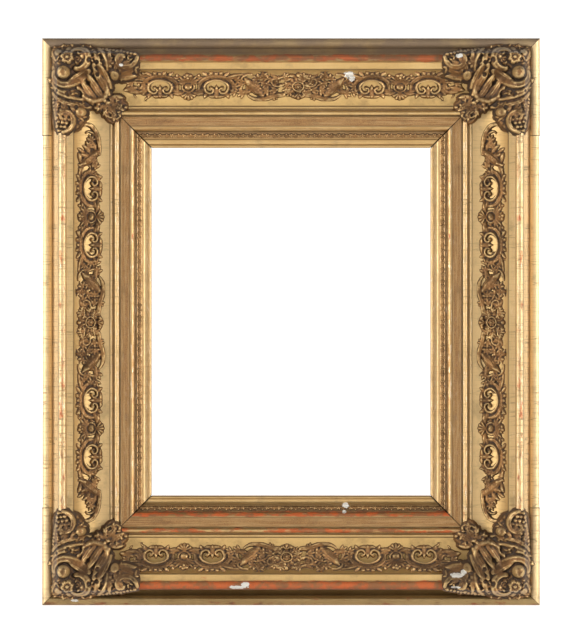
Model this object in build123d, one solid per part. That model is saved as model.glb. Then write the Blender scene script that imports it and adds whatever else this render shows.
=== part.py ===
from build123d import *
from math import atan2, cos, degrees, hypot, radians, sin, sqrt
import os

# Gilded picture frame with a deep hollow, moulded foliage and corner ornaments.
# X runs to the right, +Z is up and the front faces -Y. Lengths are in millimetres.
# p is the distance from the frame's outer edge towards the opening,
# q is the height above the back plane, towards the viewer.

# Opening that the picture shows through
sight_width = 316.0
sight_height = 394.0

# Widths across the moulding, from the outer edge inwards
edge_width = 11.5
scotia_width = 9.0
crest_width = 9.0
crest_flat_width = 7.5
hollow_width = 39.0
bead_width = 4.0
quirk_width = 1.5
astragal_width = 5.5
frieze_width = 10.3
ovolo_width = 5.7
slip_side_gap = 1.6
slip_end_gap = 0.6
slip_band_width = 6.4
slip_cove_width = 4.5
sight_bead_width = 4.0

# Heights above the back plane
board_thickness = 20.0
edge_side_height = 38.0
scotia_foot_height = 37.5
scotia_top_height = 60.0
crest_side_height = 66.0
crest_flat_height = 62.5
hollow_top_height = 56.0
hollow_foot_height = 34.0
hollow_sag = 7.0
quirk_floor_height = 34.0
astragal_side_height = 38.5
frieze_outer_height = 38.8
frieze_inner_height = 38.0
ovolo_top_height = 38.4
ovolo_foot_height = 32.5
overhang_height = 27.5

# Loose inner frame, called the slip, that carries the picture's rebate
slip_play = 0.3
slip_band_height = 30.5
slip_band_foot_height = 27.5
slip_cove_height = 25.5
slip_quirk_height = 23.0
sight_bead_side_height = 23.5
rebate_depth = 16.0
rebate_width = 7.0
slip_mitre_gap = 1.0
frieze_mitre_gap = 0.5

# Boards behind the moulding
board_width = 98.0
side_shrinkage = 1.1
edge_corner_length = 110.0
edge_joint_gap = 0.4

# Fixings
peg_diameter = 8.0
peg_near_offset = 30.0
peg_far_offset = 68.0
pin_diameter = 1.6
pin_length = 22.0
pin_height = 10.0
pin_spacing = 180.0
fit_clearance = 0.1
glue_gap = 0.15
overrun = 5.0

# Turn buttons that hold the picture in its rebate
button_length = 40.0
button_width = 10.0
button_thickness = 2.0
button_tail = 8.0
button_inset = 9.0
button_spacing = 230.0
button_play = 0.15
button_screw_diameter = 4.0
button_screw_head_diameter = 8.0
button_screw_head_height = 2.2
button_screw_length = 14.0

# Hinged ring hangers
hanger_height = 490.0
hanger_inset = 49.0
strap_width = 13.0
strap_length = 36.0
strap_thickness = 1.3
ring_wire_diameter = 2.8
ring_inner_width = 23.0
ring_straight = 4.0
ring_play = 0.1
strap_lift = 0.45
strap_screw_diameter = 3.4
strap_screw_head_diameter = 6.4
strap_screw_head_height = 1.3
strap_screw_length = 13.0
strap_near_screw = 9.0
strap_far_screw = 29.0

# Scrolls and flowers in the hollow
scroll_radius = 11.0
scroll_wire_radius = 2.6
scroll_rise = 2.4
rim_step = 3.6
rim_wire_radius = 1.4
flower_radius = 11.0
knot_radius = 5.2
shell_radius = 7.5
spray_size = 12.0
stem_radius = 2.0
stem_rise = 1.7
side_flower_to_knot = 119.0
end_flower_to_knot = 119.0
knot_to_scroll = 31.8
web_width = 27.0
web_start = 8.0
web_offset = -1.5
web_thickness = 0.7
end_run_reach = 184.0
side_run_reach = 222.0
flower_to_spray = 13.0
scroll_to_tail = 15.0
band_centre_share = 0.41

# Corner casts
corner_span = 112.9
corner_top_height = 82.0
corner_skin = 4.5
corner_trim_gap = 0.4
corner_stem_radius = 2.6
rosette_radius = 7.6

# Running ornament of the slip
slip_vine_thickness = 0.6
slip_vine_margin = 0.4
slip_vine_unit = 13.5
slip_vine_leaf = 7.6
slip_vine_leaf_width = 2.6
slip_vine_berry_radius = 1.5

# Turns in degrees, and counts of petals
full_turn = 360
half_turn = 180
quarter_turn = 90
flower_petals = 8
knot_petals = 5

# Places across the moulding
p_edge = edge_width
p_scotia = p_edge + scotia_width
p_crest = p_scotia + crest_width
p_flat = p_crest + crest_flat_width
p_hollow = p_flat + hollow_width
p_bead = p_hollow + bead_width
p_astragal = p_bead + quirk_width
p_astragal_end = p_astragal + astragal_width
p_frieze = p_astragal_end + quirk_width
p_frieze_end = p_frieze + frieze_width
p_ovolo = p_frieze_end + ovolo_width
p_slip = p_ovolo + slip_side_gap
p_slip_band = p_slip + slip_band_width
p_slip_cove = p_slip_band + slip_cove_width
p_sight_bead = p_slip_cove + quirk_width
rail_width = p_sight_bead + sight_bead_width
frame_width = sight_width + 2 * rail_width
frame_height = sight_height + 2 * rail_width
p_rebate = rail_width - rebate_width

# Depth of the whole frame, and the back plane's place
ring_wire_radius = ring_wire_diameter / 2
barrel_bore_radius = ring_wire_radius + ring_play
barrel_radius = barrel_bore_radius + strap_thickness
barrel_height = barrel_radius + strap_lift
rear_reach = barrel_height + barrel_radius
back_y = (corner_top_height - rear_reach) / 2


# Outlines and rails
def outline(start, *steps):
    """Closed face in (p, q) from a start point, straight steps and (middle, end) arcs."""
    edges = []
    here = start
    for step in steps:
        if isinstance(step[0], tuple):
            edges.append(ThreePointArc(here, step[0], step[1]))
            here = step[1]
        else:
            edges.append(Line(here, step))
            here = step
    edges.append(Line(here, start))
    return make_face(edges)


def prism(face, length):
    """Runs a (p, q) face along X as the bottom rail, centred on X = 0."""
    plane = Plane(origin=(-length / 2, back_y, 0), x_dir=(0, 0, 1), z_dir=(1, 0, 0))
    return extrude(plane * face, amount=length)


def front_plane(depth=0.0):
    """Plane seen from the front, at a depth behind the back plane."""
    return Plane(origin=(0, back_y + depth, 0), x_dir=(1, 0, 0), z_dir=(0, -1, 0))


def mitre_block(length, gap):
    """Trapezium that trims a rail of this outer length to its mitres."""
    shift = gap / sqrt(2)
    half = length / 2 - shift
    reach = rail_width + overrun
    points = [
        (-half - overrun, -overrun),
        (half + overrun, -overrun),
        (half - reach, reach),
        (-half + reach, reach),
    ]
    face = make_face(Polyline(points, close=True))
    return extrude(front_plane(overrun + rear_reach) * face, amount=2 * corner_top_height)


def rail(face, length, gap=0.0):
    return prism(face, length) & mitre_block(length, gap)


def at_bottom(shape):
    return shape


def at_top(shape):
    return Pos(0, 0, frame_height) * Rot(0, half_turn, 0) * shape


def at_left(shape):
    return Pos(-frame_width / 2, 0, frame_height / 2) * Rot(0, quarter_turn, 0) * shape


def at_right(shape):
    return Pos(frame_width / 2, 0, frame_height / 2) * Rot(0, -quarter_turn, 0) * shape


sides = {
    "top": (at_top, frame_width),
    "bottom": (at_bottom, frame_width),
    "left": (at_left, frame_height),
    "right": (at_right, frame_height),
}
parts = {}


# Sections of the mouldings
def edge_section():
    radius = edge_width / 2
    return outline(
        (0, board_thickness),
        (0, edge_side_height),
        ((radius, edge_side_height + radius), (edge_width, edge_side_height)),
        (edge_width, board_thickness),
    )


def crest_section():
    radius = crest_width / 2
    rise = scotia_top_height - scotia_foot_height
    scotia_middle_share = (0.72, 0.34)
    middle = (
        p_edge + scotia_width * scotia_middle_share[0],
        scotia_foot_height + rise * scotia_middle_share[1],
    )
    return outline(
        (p_edge, board_thickness),
        (p_edge, scotia_foot_height),
        (middle, (p_scotia, scotia_top_height)),
        (p_scotia, crest_side_height),
        ((p_scotia + radius, crest_side_height + radius), (p_crest, crest_side_height)),
        (p_crest, crest_flat_height),
        (p_flat, crest_flat_height),
        (p_flat, board_thickness),
    )


hollow_drop = hollow_top_height - hollow_foot_height
hollow_chord = hypot(hollow_width, hollow_drop)
hollow_radius = (hollow_chord**2 / 4 + hollow_sag**2) / (2 * hollow_sag)
hollow_middle = (
    p_flat + hollow_width / 2 - hollow_sag * hollow_drop / hollow_chord,
    (hollow_top_height + hollow_foot_height) / 2 - hollow_sag * hollow_width / hollow_chord,
)


def hollow_section():
    radius = bead_width / 2
    return outline(
        (p_flat, board_thickness),
        (p_flat, hollow_top_height),
        (hollow_middle, (p_hollow, hollow_foot_height)),
        ((p_hollow + radius, hollow_foot_height + radius), (p_bead, hollow_foot_height)),
        (p_bead, board_thickness),
    )


def frieze_section():
    radius = astragal_width / 2
    ovolo_share = 0.72
    ovolo_middle = (
        p_frieze_end + ovolo_width * ovolo_share,
        ovolo_foot_height + (ovolo_top_height - ovolo_foot_height) * ovolo_share,
    )
    return outline(
        (p_bead, board_thickness),
        (p_bead, quirk_floor_height),
        (p_astragal, quirk_floor_height),
        (p_astragal, astragal_side_height),
        (
            (p_astragal + radius, astragal_side_height + radius),
            (p_astragal_end, astragal_side_height),
        ),
        (p_astragal_end, quirk_floor_height),
        (p_frieze, quirk_floor_height),
        (p_frieze, frieze_outer_height),
        (p_frieze_end, frieze_inner_height),
        (p_frieze_end, ovolo_top_height),
        (ovolo_middle, (p_ovolo, ovolo_foot_height)),
        (p_ovolo, overhang_height),
        (board_width, overhang_height),
        (board_width, board_thickness),
    )


def slip_section(gap):
    start = p_ovolo + gap
    flange = board_width + gap
    shoulder = overhang_height - slip_play
    cove_sag_share = 0.35
    cove_middle = (
        p_slip_band + slip_cove_width * cove_sag_share,
        slip_quirk_height + (slip_cove_height - slip_quirk_height) * cove_sag_share,
    )
    radius = sight_bead_width / 2
    return outline(
        (flange, 0),
        (flange, shoulder),
        (start, shoulder),
        (start, slip_band_height),
        (p_slip_band, slip_band_foot_height),
        (p_slip_band, slip_cove_height),
        (cove_middle, (p_slip_cove, slip_quirk_height)),
        (p_sight_bead, slip_quirk_height),
        (p_sight_bead, sight_bead_side_height),
        (
            (p_sight_bead + radius, sight_bead_side_height + radius),
            (rail_width, sight_bead_side_height),
        ),
        (rail_width, rebate_depth),
        (p_rebate, rebate_depth),
        (p_rebate, 0),
    )


# Boards, half-lapped at the corners and pegged
def board_face():
    return outline((0, 0), (0, board_thickness), (board_width, board_thickness), (board_width, 0))


def peg_places():
    """Centres of the corner pegs, as (x, z)."""
    found = []
    for side_x in (-1, 1):
        for side_z in (0, 1):
            for across, up in (
                (peg_near_offset, peg_far_offset),
                (peg_far_offset, peg_near_offset),
            ):
                x = side_x * (frame_width / 2 - across)
                z = frame_height - up if side_z else up
                found.append((x, z))
    return found


def rod(x, z, radius, start, end):
    """Round bar along Y at (x, z), from height start to height end above the back plane."""
    bar = Cylinder(radius, end - start, align=(Align.CENTER, Align.CENTER, Align.MIN))
    return Pos(x, back_y - start, z) * Rot(quarter_turn, 0, 0) * bar


def lap_block(length, start, end):
    """Removes one half of a board's thickness over both laps."""
    blocks = []
    reach = board_width + overrun
    for side_x in (-1, 1):
        block = Box(reach, end - start, board_width + 2 * overrun)
        x = side_x * (length / 2 + overrun - reach / 2)
        blocks.append(Pos(x, back_y - (start + end) / 2, board_width / 2) * block)
    return blocks[0] + blocks[1]


def build_boards():
    half = board_thickness / 2
    peg_holes = [
        rod(x, z, peg_diameter / 2, -overrun, board_thickness + overrun)
        for x, z in peg_places()
    ]
    pin_holes = [
        place(pin_shape(x, pin_diameter / 2 + fit_clearance / 2))
        for name, (place, length) in sides.items()
        for x in (-pin_spacing / 2, pin_spacing / 2)
    ]
    cutters = peg_holes + pin_holes + screw_holes()
    for name, (place, length) in sides.items():
        board = prism(board_face(), length)
        if name in ("top", "bottom"):
            board = board - lap_block(length, -overrun, half)
            label = "back_rail_" + name
        else:
            board = board - lap_block(length, half, board_thickness + overrun)
            trim = Box(length, board_thickness * 2, side_shrinkage)
            trim = Pos(0, back_y - board_thickness / 2, side_shrinkage / 2) * trim
            board = board - trim
            label = "back_stile_" + name
        board = place(board)
        for cutter in cutters:
            board = board - cutter
        parts[label] = board
    pegs = [rod(x, z, peg_diameter / 2 - fit_clearance / 2, 0, board_thickness) for x, z in peg_places()]
    parts["corner_pegs"] = Compound(children=pegs)


def pin_shape(x, radius):
    """Wire pin along Z of the bottom rail, from the rebate's wall into the board."""
    bar = Cylinder(radius, pin_length, align=(Align.CENTER, Align.CENTER, Align.MAX))
    return Pos(x, back_y - pin_height, p_rebate) * bar


# Mouldings
def build_mouldings():
    for name, (place, length) in sides.items():
        parts["crest_" + name] = place(rail(crest_section(), length))
        parts["hollow_" + name] = place(rail(hollow_section(), length))
        parts["frieze_" + name] = place(rail(frieze_section(), length, frieze_mitre_gap))
        gap = slip_end_gap if name in ("top", "bottom") else slip_side_gap
        slip = rail(slip_section(gap), length, slip_mitre_gap)
        for x in (-pin_spacing / 2, pin_spacing / 2):
            slip = slip - pin_shape(x, pin_diameter / 2 + fit_clearance / 2)
        parts["slip_" + name] = place(slip)
    pins = [
        place(pin_shape(x, pin_diameter / 2))
        for place, length in sides.values()
        for x in (-pin_spacing / 2, pin_spacing / 2)
    ]
    parts["slip_pins"] = Compound(children=pins)


def build_edges():
    for name, (place, length) in sides.items():
        whole = rail(edge_section(), length)
        if name in ("top", "bottom"):
            parts["edge_" + name] = place(whole)
            continue
        depth = 4 * corner_top_height
        middle_length = length - 2 * edge_corner_length
        middle_room = Box(middle_length - edge_joint_gap, depth, depth)
        middle = prism(edge_section(), length) & middle_room
        trim = Pos(0, 0, side_shrinkage / 2) * Box(length, depth, side_shrinkage)
        parts[f"edge_{name}_middle"] = place(middle - trim)
        end_room = Box(edge_corner_length + overrun, depth, depth)
        offset = middle_length / 2 + (edge_corner_length + overrun) / 2
        # place() turns the bottom rail, so the two ends swap between the two sides
        low_x = offset if name == "left" else -offset
        parts[f"edge_{name}_lower"] = place(whole & Pos(low_x, 0, 0) * end_room)
        parts[f"edge_{name}_upper"] = place(whole & Pos(-low_x, 0, 0) * end_room)


# Shapes that the ornaments are made of, in a local frame whose z leaves the surface
leaf_belly_share = 0.45
vine_leaf_angle = 24
screw_slot_share = 0.14
tip_round_share = 0.45
spike_share = 0.55
scroll_drop_share = 0.38
rim_turn = 100
knot_flower_share = 2.3
flower_lift_share = 0.25
rosette_place_shares = (0.25, 0.21)
tip_share = 1.2
eye_share = 0.42
eye_rise_share = 0.2
petal_share = 0.62
calyx_share = 0.7
waist_share = 0.3


def leaf(length, width, x, y, z, angle):
    """Carved leaf with a sharp midrib from (x, y), pointing along an angle in degrees."""
    belly = length * leaf_belly_share
    root = (0, 0, 0)
    tip = (length, 0, 0)
    ring = [(belly, width / 2, 0), (belly, 0, width / 2), (belly, -width / 2, 0), (belly, 0, -width / 2)]
    faces = []
    for first, second in zip(ring, ring[1:] + ring[:1]):
        faces.append(Face(Wire(Polyline(root, second, first, close=True).edges())))
        faces.append(Face(Wire(Polyline(tip, first, second, close=True).edges())))
    return Pos(x, y, z) * Rot(0, 0, angle) * Solid(Shell(faces))


def berry(radius, x, y, z):
    return Pos(x, y, z) * Sphere(radius)


def vine(radius, x, y, z, heading, arcs):
    """Ridged stem from (x, y) along tangent arcs, each (radius, turn), that ends in a berry."""
    start = (x, y, z)
    tangent = (cos(radians(heading)), sin(radians(heading)), 0)
    edges = []
    for arc_radius, turn in arcs:
        edge = JernArc(start=start, tangent=tangent, radius=arc_radius, arc_size=turn)
        edges.append(edge)
        start = edge @ 1
        tangent = edge % 1
    path = Wire(edges)
    diamond = Polyline((radius, 0), (0, radius), (-radius, 0), (0, -radius), close=True)
    section = Plane(origin=path @ 0, x_dir=(0, 0, 1), z_dir=path % 0) * make_face(diamond)
    end = path @ 1
    return [sweep(section, path=path), berry(radius * tip_share, end.X, end.Y, z)]


def rosette(count, radius, x, y, z):
    """Round flower with petals about an eye."""
    step = full_turn / count
    petals = [leaf(radius, radius * petal_share, x, y, z, step * i) for i in range(count)]
    return petals + [berry(radius * eye_share, x, y, z + radius * eye_rise_share)]


def fuse(shapes):
    """One body from overlapping shapes."""
    return shapes[0].fuse(*shapes[1:])


# Tables of the foliage: x along the rail, y towards the opening, in shares of each motif's size
scroll_turn_shares = ((1.0, 80), (2.4, 26), (0.62, 74), (0.4, 190))
scroll_cusp_shares = ((0.0, 1.2, 1.0, 0.42, -90),)
scroll_leaf_shares = (
    (0.08, 0.85, 0.8, 0.36, 62),
    (0.3, 0.95, 1.0, 0.36, 20),
    (0.95, 0.55, 1.0, 0.34, 68),
    (1.1, 0.2, 0.9, 0.34, -40),
)
knot_leaf_shares = (
    (0.3, 0.9, 3.0, 0.9, 14),
    (0.3, -0.9, 3.0, 0.85, -20),
    (0.2, -1.6, 2.7, 0.8, -38),
    (0.2, 1.4, 2.4, 0.8, 38),
)
shell_leaf_shares = tuple((0.0, 0.62, 1.35, 0.5, angle) for angle in (30, 60, 90, 120, 150))
spray_stem_shares = (
    (0.0, 0.1, 25, ((1.0, -95), (0.36, -200))),
    (0.2, 0.3, 12, ((2.6, -40), (1.1, 75), (0.4, 200))),
    (2.5, 0.8, -20, ((1.6, 45), (0.8, -70), (0.36, -160))),
)
spray_leaf_shares = (
    (1.2, 0.9, 1.6, 0.5, -48),
    (1.7, 1.2, 2.0, 0.5, -55),
    (2.3, 1.2, 2.2, 0.5, -50),
    (2.9, 1.1, 2.0, 0.5, -42),
    (0.4, 1.1, 1.3, 0.42, 10),
    (3.4, -0.6, 1.7, 0.46, -14),
    (3.9, 0.9, 1.3, 0.42, 24),
)
end_tail_stem_shares = ((0.0, 0.2, -15, ((1.6, 60), (0.9, -60))),)
end_tail_leaf_shares = (
    (0.2, 0.4, 1.8, 0.5, -40),
    (0.6, 0.9, 1.9, 0.5, -22),
    (1.0, 1.2, 1.7, 0.42, -4),
)
side_tail_stem_shares = (
    (0.0, 0.2, 30, ((1.8, -40), (2.4, 34), (2.0, -40))),
    (1.7, 1.3, 0, ((6.0, -18), (0.9, -120))),
)
side_tail_leaf_shares = (
    (0.2, -0.5, 1.6, 0.46, -20),
    (1.1, 0.7, 2.4, 0.5, -58),
    (1.6, 0.9, 2.5, 0.5, -52),
    (2.2, 0.9, 2.4, 0.5, -44),
    (3.2, 0.4, 1.5, 0.46, -30),
)


# Seat of the foliage: the hollow's own arc
hollow_slope = atan2(hollow_drop, hollow_width)
band_offset = hollow_chord * (band_centre_share - 1 / 2)
band_slope = hollow_slope - atan2(band_offset, sqrt(hollow_radius**2 - band_offset**2))
hollow_rise = hollow_radius - hollow_sag
hollow_centre_p = (p_flat + p_hollow) / 2 + hollow_rise * sin(hollow_slope)
hollow_centre_q = (hollow_top_height + hollow_foot_height) / 2 + hollow_rise * cos(hollow_slope)
band_p = hollow_centre_p - hollow_radius * sin(band_slope)
band_q = hollow_centre_q - hollow_radius * cos(band_slope)
band_plane = Plane(
    origin=(0, back_y - band_q, band_p),
    x_dir=(1, 0, 0),
    z_dir=(0, -cos(band_slope), sin(band_slope)),
)


def seat(y):
    """Height of the hollow's surface at y across the band, from the band's middle."""
    return hollow_radius - sqrt(hollow_radius**2 - y**2)


def leaves(x, hand, size, rows):
    """Leaves from a table of shares; hand -1 mirrors them."""
    shapes = []
    for along, across, length, width, angle in rows:
        y = across * size
        turned = angle if hand == 1 else half_turn - angle
        place_x = x + hand * along * size
        shapes.append(leaf(length * size, width * size, place_x, y, seat(y), turned))
    return shapes


def stems(x, hand, size, radius, rise, rows):
    """Stems from a table of shares; hand -1 mirrors them."""
    shapes = []
    for along, across, heading, turns in rows:
        turned = heading if hand == 1 else half_turn - heading
        arcs = [(arc_radius * size, hand * turn) for arc_radius, turn in turns]
        shapes += vine(radius, x + hand * along * size, across * size, rise, turned, arcs)
    return shapes


def c_scroll(x):
    """Arch closed towards the outer edge, with two inward volutes and a leaf between them."""
    shapes = []
    arch_turns = ((0, -1 - scroll_drop_share, 0, scroll_turn_shares),)
    rim = 1 - rim_step / scroll_radius
    rim_turns = ((0, -rim - scroll_drop_share, 0, ((rim, rim_turn),)),)
    shapes += leaves(x, 1, scroll_radius, scroll_cusp_shares)
    for hand in (1, -1):
        shapes += stems(x, hand, scroll_radius, scroll_wire_radius, scroll_rise, arch_turns)
        shapes += stems(x, hand, scroll_radius, rim_wire_radius, scroll_rise, rim_turns)
        shapes += leaves(x, hand, scroll_radius, scroll_leaf_shares)
    return shapes


def knot(x):
    """Ringed bead with a ribbed shell towards the opening and a flower towards the edge."""
    outer = -knot_radius * knot_flower_share
    shapes = [berry(knot_radius, x, 0, knot_radius * eye_rise_share)]
    shapes += rosette(knot_petals, knot_radius, x, outer, seat(outer))
    shapes += leaves(x, 1, shell_radius, shell_leaf_shares)
    for hand in (1, -1):
        shapes += leaves(x, hand, knot_radius, knot_leaf_shares)
    return shapes


def flower_piece():
    """Large rail flower with a shell at its side towards the opening."""
    shapes = rosette(flower_petals, flower_radius, 0, -flower_radius * flower_lift_share, stem_rise)
    shapes += leaves(0, 1, flower_radius, shell_leaf_shares)
    return shapes


def scroll_run(to_knot, tail_stems, tail_leaves):
    """Everything from a rail's flower to the corner, towards +x."""
    first = to_knot - knot_to_scroll
    last = to_knot + knot_to_scroll
    shapes = stems(flower_to_spray, 1, spray_size, stem_radius, stem_rise, spray_stem_shares)
    shapes += leaves(flower_to_spray, 1, spray_size, spray_leaf_shares)
    shapes += c_scroll(first) + knot(to_knot) + c_scroll(last)
    tail = last + scroll_to_tail
    shapes += stems(tail, 1, spray_size, stem_radius, stem_rise, tail_stems)
    shapes += leaves(tail, 1, spray_size, tail_leaves)
    return shapes


def hollow_core(lift):
    """Round bar that fills the hollow to a small height above its surface."""
    core = Cylinder(hollow_radius - lift, frame_height)
    return Pos(0, back_y - hollow_centre_q, hollow_centre_p) * Rot(0, quarter_turn, 0) * core


def seated(shapes, start, end):
    """Fuses the shapes with a thin ground from start to end and trims them to the hollow."""
    strip = Box(end - start, web_width, 2 * web_width)
    strip = Pos((start + end) / 2, web_offset, 0) * strip
    ground = (band_plane * strip) & (hollow_core(glue_gap) - hollow_core(glue_gap + web_thickness))
    body = fuse([ground] + [band_plane * shape for shape in shapes])
    room = Box(frame_height, corner_top_height * 2, p_bead - p_flat - 2 * glue_gap)
    room = Pos(0, back_y, (p_bead + p_flat) / 2) * room
    return body & hollow_core(glue_gap) & room


# Corner casts, in (u, v) from the frame's outer corner, in shares of corner_span
corner_outline_shares = (
    (0.11, 0.08), (0.20, 0.07), (0.38, 0.05), (0.48, 0.09), (0.60, 0.11), (0.75, 0.13),
    (0.88, 0.16), (0.95, 0.19), (0.97, 0.28), (0.93, 0.38), (0.86, 0.42), (0.75, 0.42),
    (0.66, 0.42), (0.61, 0.48), (0.70, 0.52), (0.76, 0.58), (0.74, 0.66), (0.70, 0.75),
    (0.62, 0.76), (0.57, 0.70), (0.50, 0.66), (0.45, 0.70), (0.44, 0.80), (0.40, 0.88),
    (0.35, 0.93), (0.28, 0.93), (0.21, 0.95), (0.14, 0.92), (0.11, 0.85), (0.12, 0.75),
    (0.12, 0.60), (0.09, 0.47), (0.08, 0.38), (0.11, 0.25),
)
corner_berry_shares = (
    (0.16, 0.15, 0.04), (0.26, 0.11, 0.034), (0.11, 0.40, 0.026), (0.22, 0.34, 0.062),
    (0.51, 0.55, 0.072), (0.65, 0.38, 0.036), (0.18, 0.74, 0.032), (0.26, 0.72, 0.03),
    (0.22, 0.82, 0.034), (0.30, 0.80, 0.03), (0.17, 0.87, 0.03), (0.66, 0.66, 0.034),
)
corner_leaf_shares = (
    (0.36, 0.31, 0.34, 0.10, -42), (0.38, 0.30, 0.30, 0.09, -26), (0.34, 0.34, 0.32, 0.09, -60),
    (0.53, 0.36, 0.27, 0.07, 84), (0.60, 0.38, 0.26, 0.07, 97), (0.63, 0.38, 0.32, 0.09, 8),
    (0.64, 0.37, 0.34, 0.10, 26), (0.63, 0.36, 0.32, 0.09, 44), (0.62, 0.36, 0.26, 0.08, 62),
    (0.38, 0.60, 0.30, 0.09, -88), (0.36, 0.61, 0.33, 0.09, -106), (0.33, 0.62, 0.34, 0.09, -124),
    (0.15, 0.52, 0.40, 0.08, -88), (0.13, 0.46, 0.32, 0.09, -32), (0.14, 0.52, 0.30, 0.08, -14),
    (0.65, 0.64, 0.13, 0.06, -88), (0.65, 0.64, 0.11, 0.055, 25), (0.65, 0.64, 0.11, 0.055, 150),
    (0.66, 0.62, 0.12, 0.055, 75),
)
corner_stem_shares = (
    (0.35, 0.115, 0, ((0.088, -205), (0.05, -120))),
    (0.115, 0.37, 92, ((0.105, -104), (0.26, -38))),
    (0.125, 0.44, -78, ((0.17, 84), (0.2, 30))),
    (0.63, 0.43, 10, ((0.5, 12), (0.2, 50))),
    (0.43, 0.60, -80, ((0.4, -20), (0.14, -60))),
    (0.36, 0.66, 0, ((0.045, 250),)),
)


def corner_lines(skin, floor):
    """Line over the mouldings at a height above them, as (p, q) points; floor fills the scotia."""
    edge_top = edge_side_height + edge_width / 2 + skin
    crest_top = crest_side_height + crest_width / 2 + skin
    bead_top = hollow_foot_height + bead_width / 2 + skin
    waist = p_flat + hollow_width * waist_share
    waist_top = hollow_foot_height + (hollow_top_height - hollow_foot_height) * (1 - waist_share)
    return [
        (0, edge_top),
        (p_edge if floor else 0, edge_top),
        (p_scotia, crest_top),
        (p_crest, crest_top),
        (p_flat, crest_flat_height + skin),
        (waist, waist_top + skin),
        (p_hollow, bead_top),
        (p_astragal_end, bead_top),
    ]


def corner_height(p):
    """Height of the cast's body at p."""
    lines = corner_lines(corner_skin, False)[1:]
    for (start_p, start_q), (end_p, end_q) in zip(lines, lines[1:]):
        if p <= end_p:
            return start_q + (end_q - start_q) * (p - start_p) / (end_p - start_p)
    return lines[-1][1]


def corner_section():
    """Body of a cast: a thick skin over the mouldings."""
    top = corner_lines(corner_skin, False)[1:]
    return outline((0, board_thickness), *top, (p_astragal_end, board_thickness))


def corner_floor():
    """Space that the raised elements stay out of, in straight lines just above the mouldings."""
    top = corner_lines(corner_trim_gap, True)
    outer_top = top[0][1]
    inner_top = top[-1][1]
    return outline((-overrun, 0), (-overrun, outer_top), *top[1:], (rail_width, inner_top), (rail_width, 0))


def moulding_section():
    """All fixed mouldings as one outline, grown by the gap under a corner cast."""
    whole = edge_section() + crest_section() + hollow_section() + frieze_section()
    return offset(whole, amount=corner_trim_gap)


def corner_elements():
    """Raised scrolls, leaves and flowers of the top left cast, in the front plane of the corner."""
    shapes = []
    for u, v, radius in corner_berry_shares:
        height = corner_height(min(u, v) * corner_span)
        shapes.append(berry(radius * corner_span, u * corner_span, -v * corner_span, height))
    for u, v, length, width, angle in corner_leaf_shares:
        height = corner_height(min(u, v) * corner_span)
        lean = leaf_lean(u, v, length, angle)
        body = leaf(length * corner_span, width * corner_span, 0, 0, 0, 0)
        turned = Pos(u * corner_span, -v * corner_span, height) * Rot(0, 0, angle)
        shapes.append(turned * Rot(0, -lean, 0) * body)
    top = corner_top_height - corner_stem_radius * tip_share
    for u, v, heading, turns in corner_stem_shares:
        height = min(top, corner_height(min(u, v) * corner_span) + corner_stem_radius)
        arcs = [(radius * corner_span, turn) for radius, turn in turns]
        shapes += vine(corner_stem_radius, u * corner_span, -v * corner_span, height, heading, arcs)
    u, v = rosette_place_shares
    height = corner_top_height - rosette_radius * (eye_share + eye_rise_share)
    shapes += rosette(flower_petals, rosette_radius, u * corner_span, -v * corner_span, height)
    calyx = rosette_radius * calyx_share
    shapes.append(berry(calyx, u * corner_span, -v * corner_span, height - calyx))
    return shapes


def leaf_lean(u, v, length, angle):
    """Lean in degrees that keeps a leaf's tip at the height of the cast's body."""
    tip_u = u + length * cos(radians(angle))
    tip_v = v - length * sin(radians(angle))
    rise = corner_height(min(tip_u, tip_v) * corner_span) - corner_height(min(u, v) * corner_span)
    return degrees(atan2(rise, length * corner_span))


def build_corners():
    front = Plane(origin=(-frame_width / 2, back_y, frame_height), x_dir=(1, 0, 0), z_dir=(0, -1, 0))
    points = [(u * corner_span, -v * corner_span) for u, v in corner_outline_shares]
    room = extrude(front * make_face(Spline(*points, periodic=True)), amount=corner_top_height)
    raised = fuse([front * shape for shape in corner_elements()]) & room
    bodies = []
    for place, length in ((at_top, frame_width), (at_left, frame_height)):
        body = place(rail(corner_section(), length)) & room
        bodies.append(body - place(rail(moulding_section(), length)))
        raised = raised - place(rail(corner_floor(), length))
    cast = fuse([bodies[0], bodies[1], raised])
    middle = Plane(origin=(0, 0, frame_height / 2), z_dir=(0, 0, 1))
    parts["corner_top_left"] = cast
    parts["corner_top_right"] = mirror(cast, about=Plane.YZ)
    parts["corner_bottom_left"] = mirror(cast, about=middle)
    parts["corner_bottom_right"] = mirror(parts["corner_top_right"], about=middle)
    return room


def build_foliage(room):
    """Scroll runs and flowers of the four rails; room is the space of the top left cast."""
    flower = seated(flower_piece(), -web_start, web_start)
    web_near = web_start + glue_gap
    shapes = scroll_run(end_flower_to_knot, end_tail_stem_shares, end_tail_leaf_shares)
    end_run = seated(shapes, web_near, end_run_reach)
    shapes = scroll_run(side_flower_to_knot, side_tail_stem_shares, side_tail_leaf_shares)
    side_run = seated(shapes, web_near, side_run_reach)
    middle = Plane(origin=(0, 0, frame_height / 2), z_dir=(0, 0, 1))
    top_run = at_top(end_run) - room
    left_run = at_left(mirror(side_run, about=Plane.YZ)) - room
    parts["scrolls_top_left"] = top_run
    parts["scrolls_top_right"] = mirror(top_run, about=Plane.YZ)
    parts["scrolls_bottom_left"] = mirror(top_run, about=middle)
    parts["scrolls_bottom_right"] = mirror(parts["scrolls_top_right"], about=middle)
    parts["scrolls_left_upper"] = left_run
    parts["scrolls_left_lower"] = mirror(left_run, about=middle)
    parts["scrolls_right_upper"] = mirror(left_run, about=Plane.YZ)
    parts["scrolls_right_lower"] = mirror(parts["scrolls_left_lower"], about=Plane.YZ)
    for name, (place, length) in sides.items():
        parts["flower_" + name] = place(flower)


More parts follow.
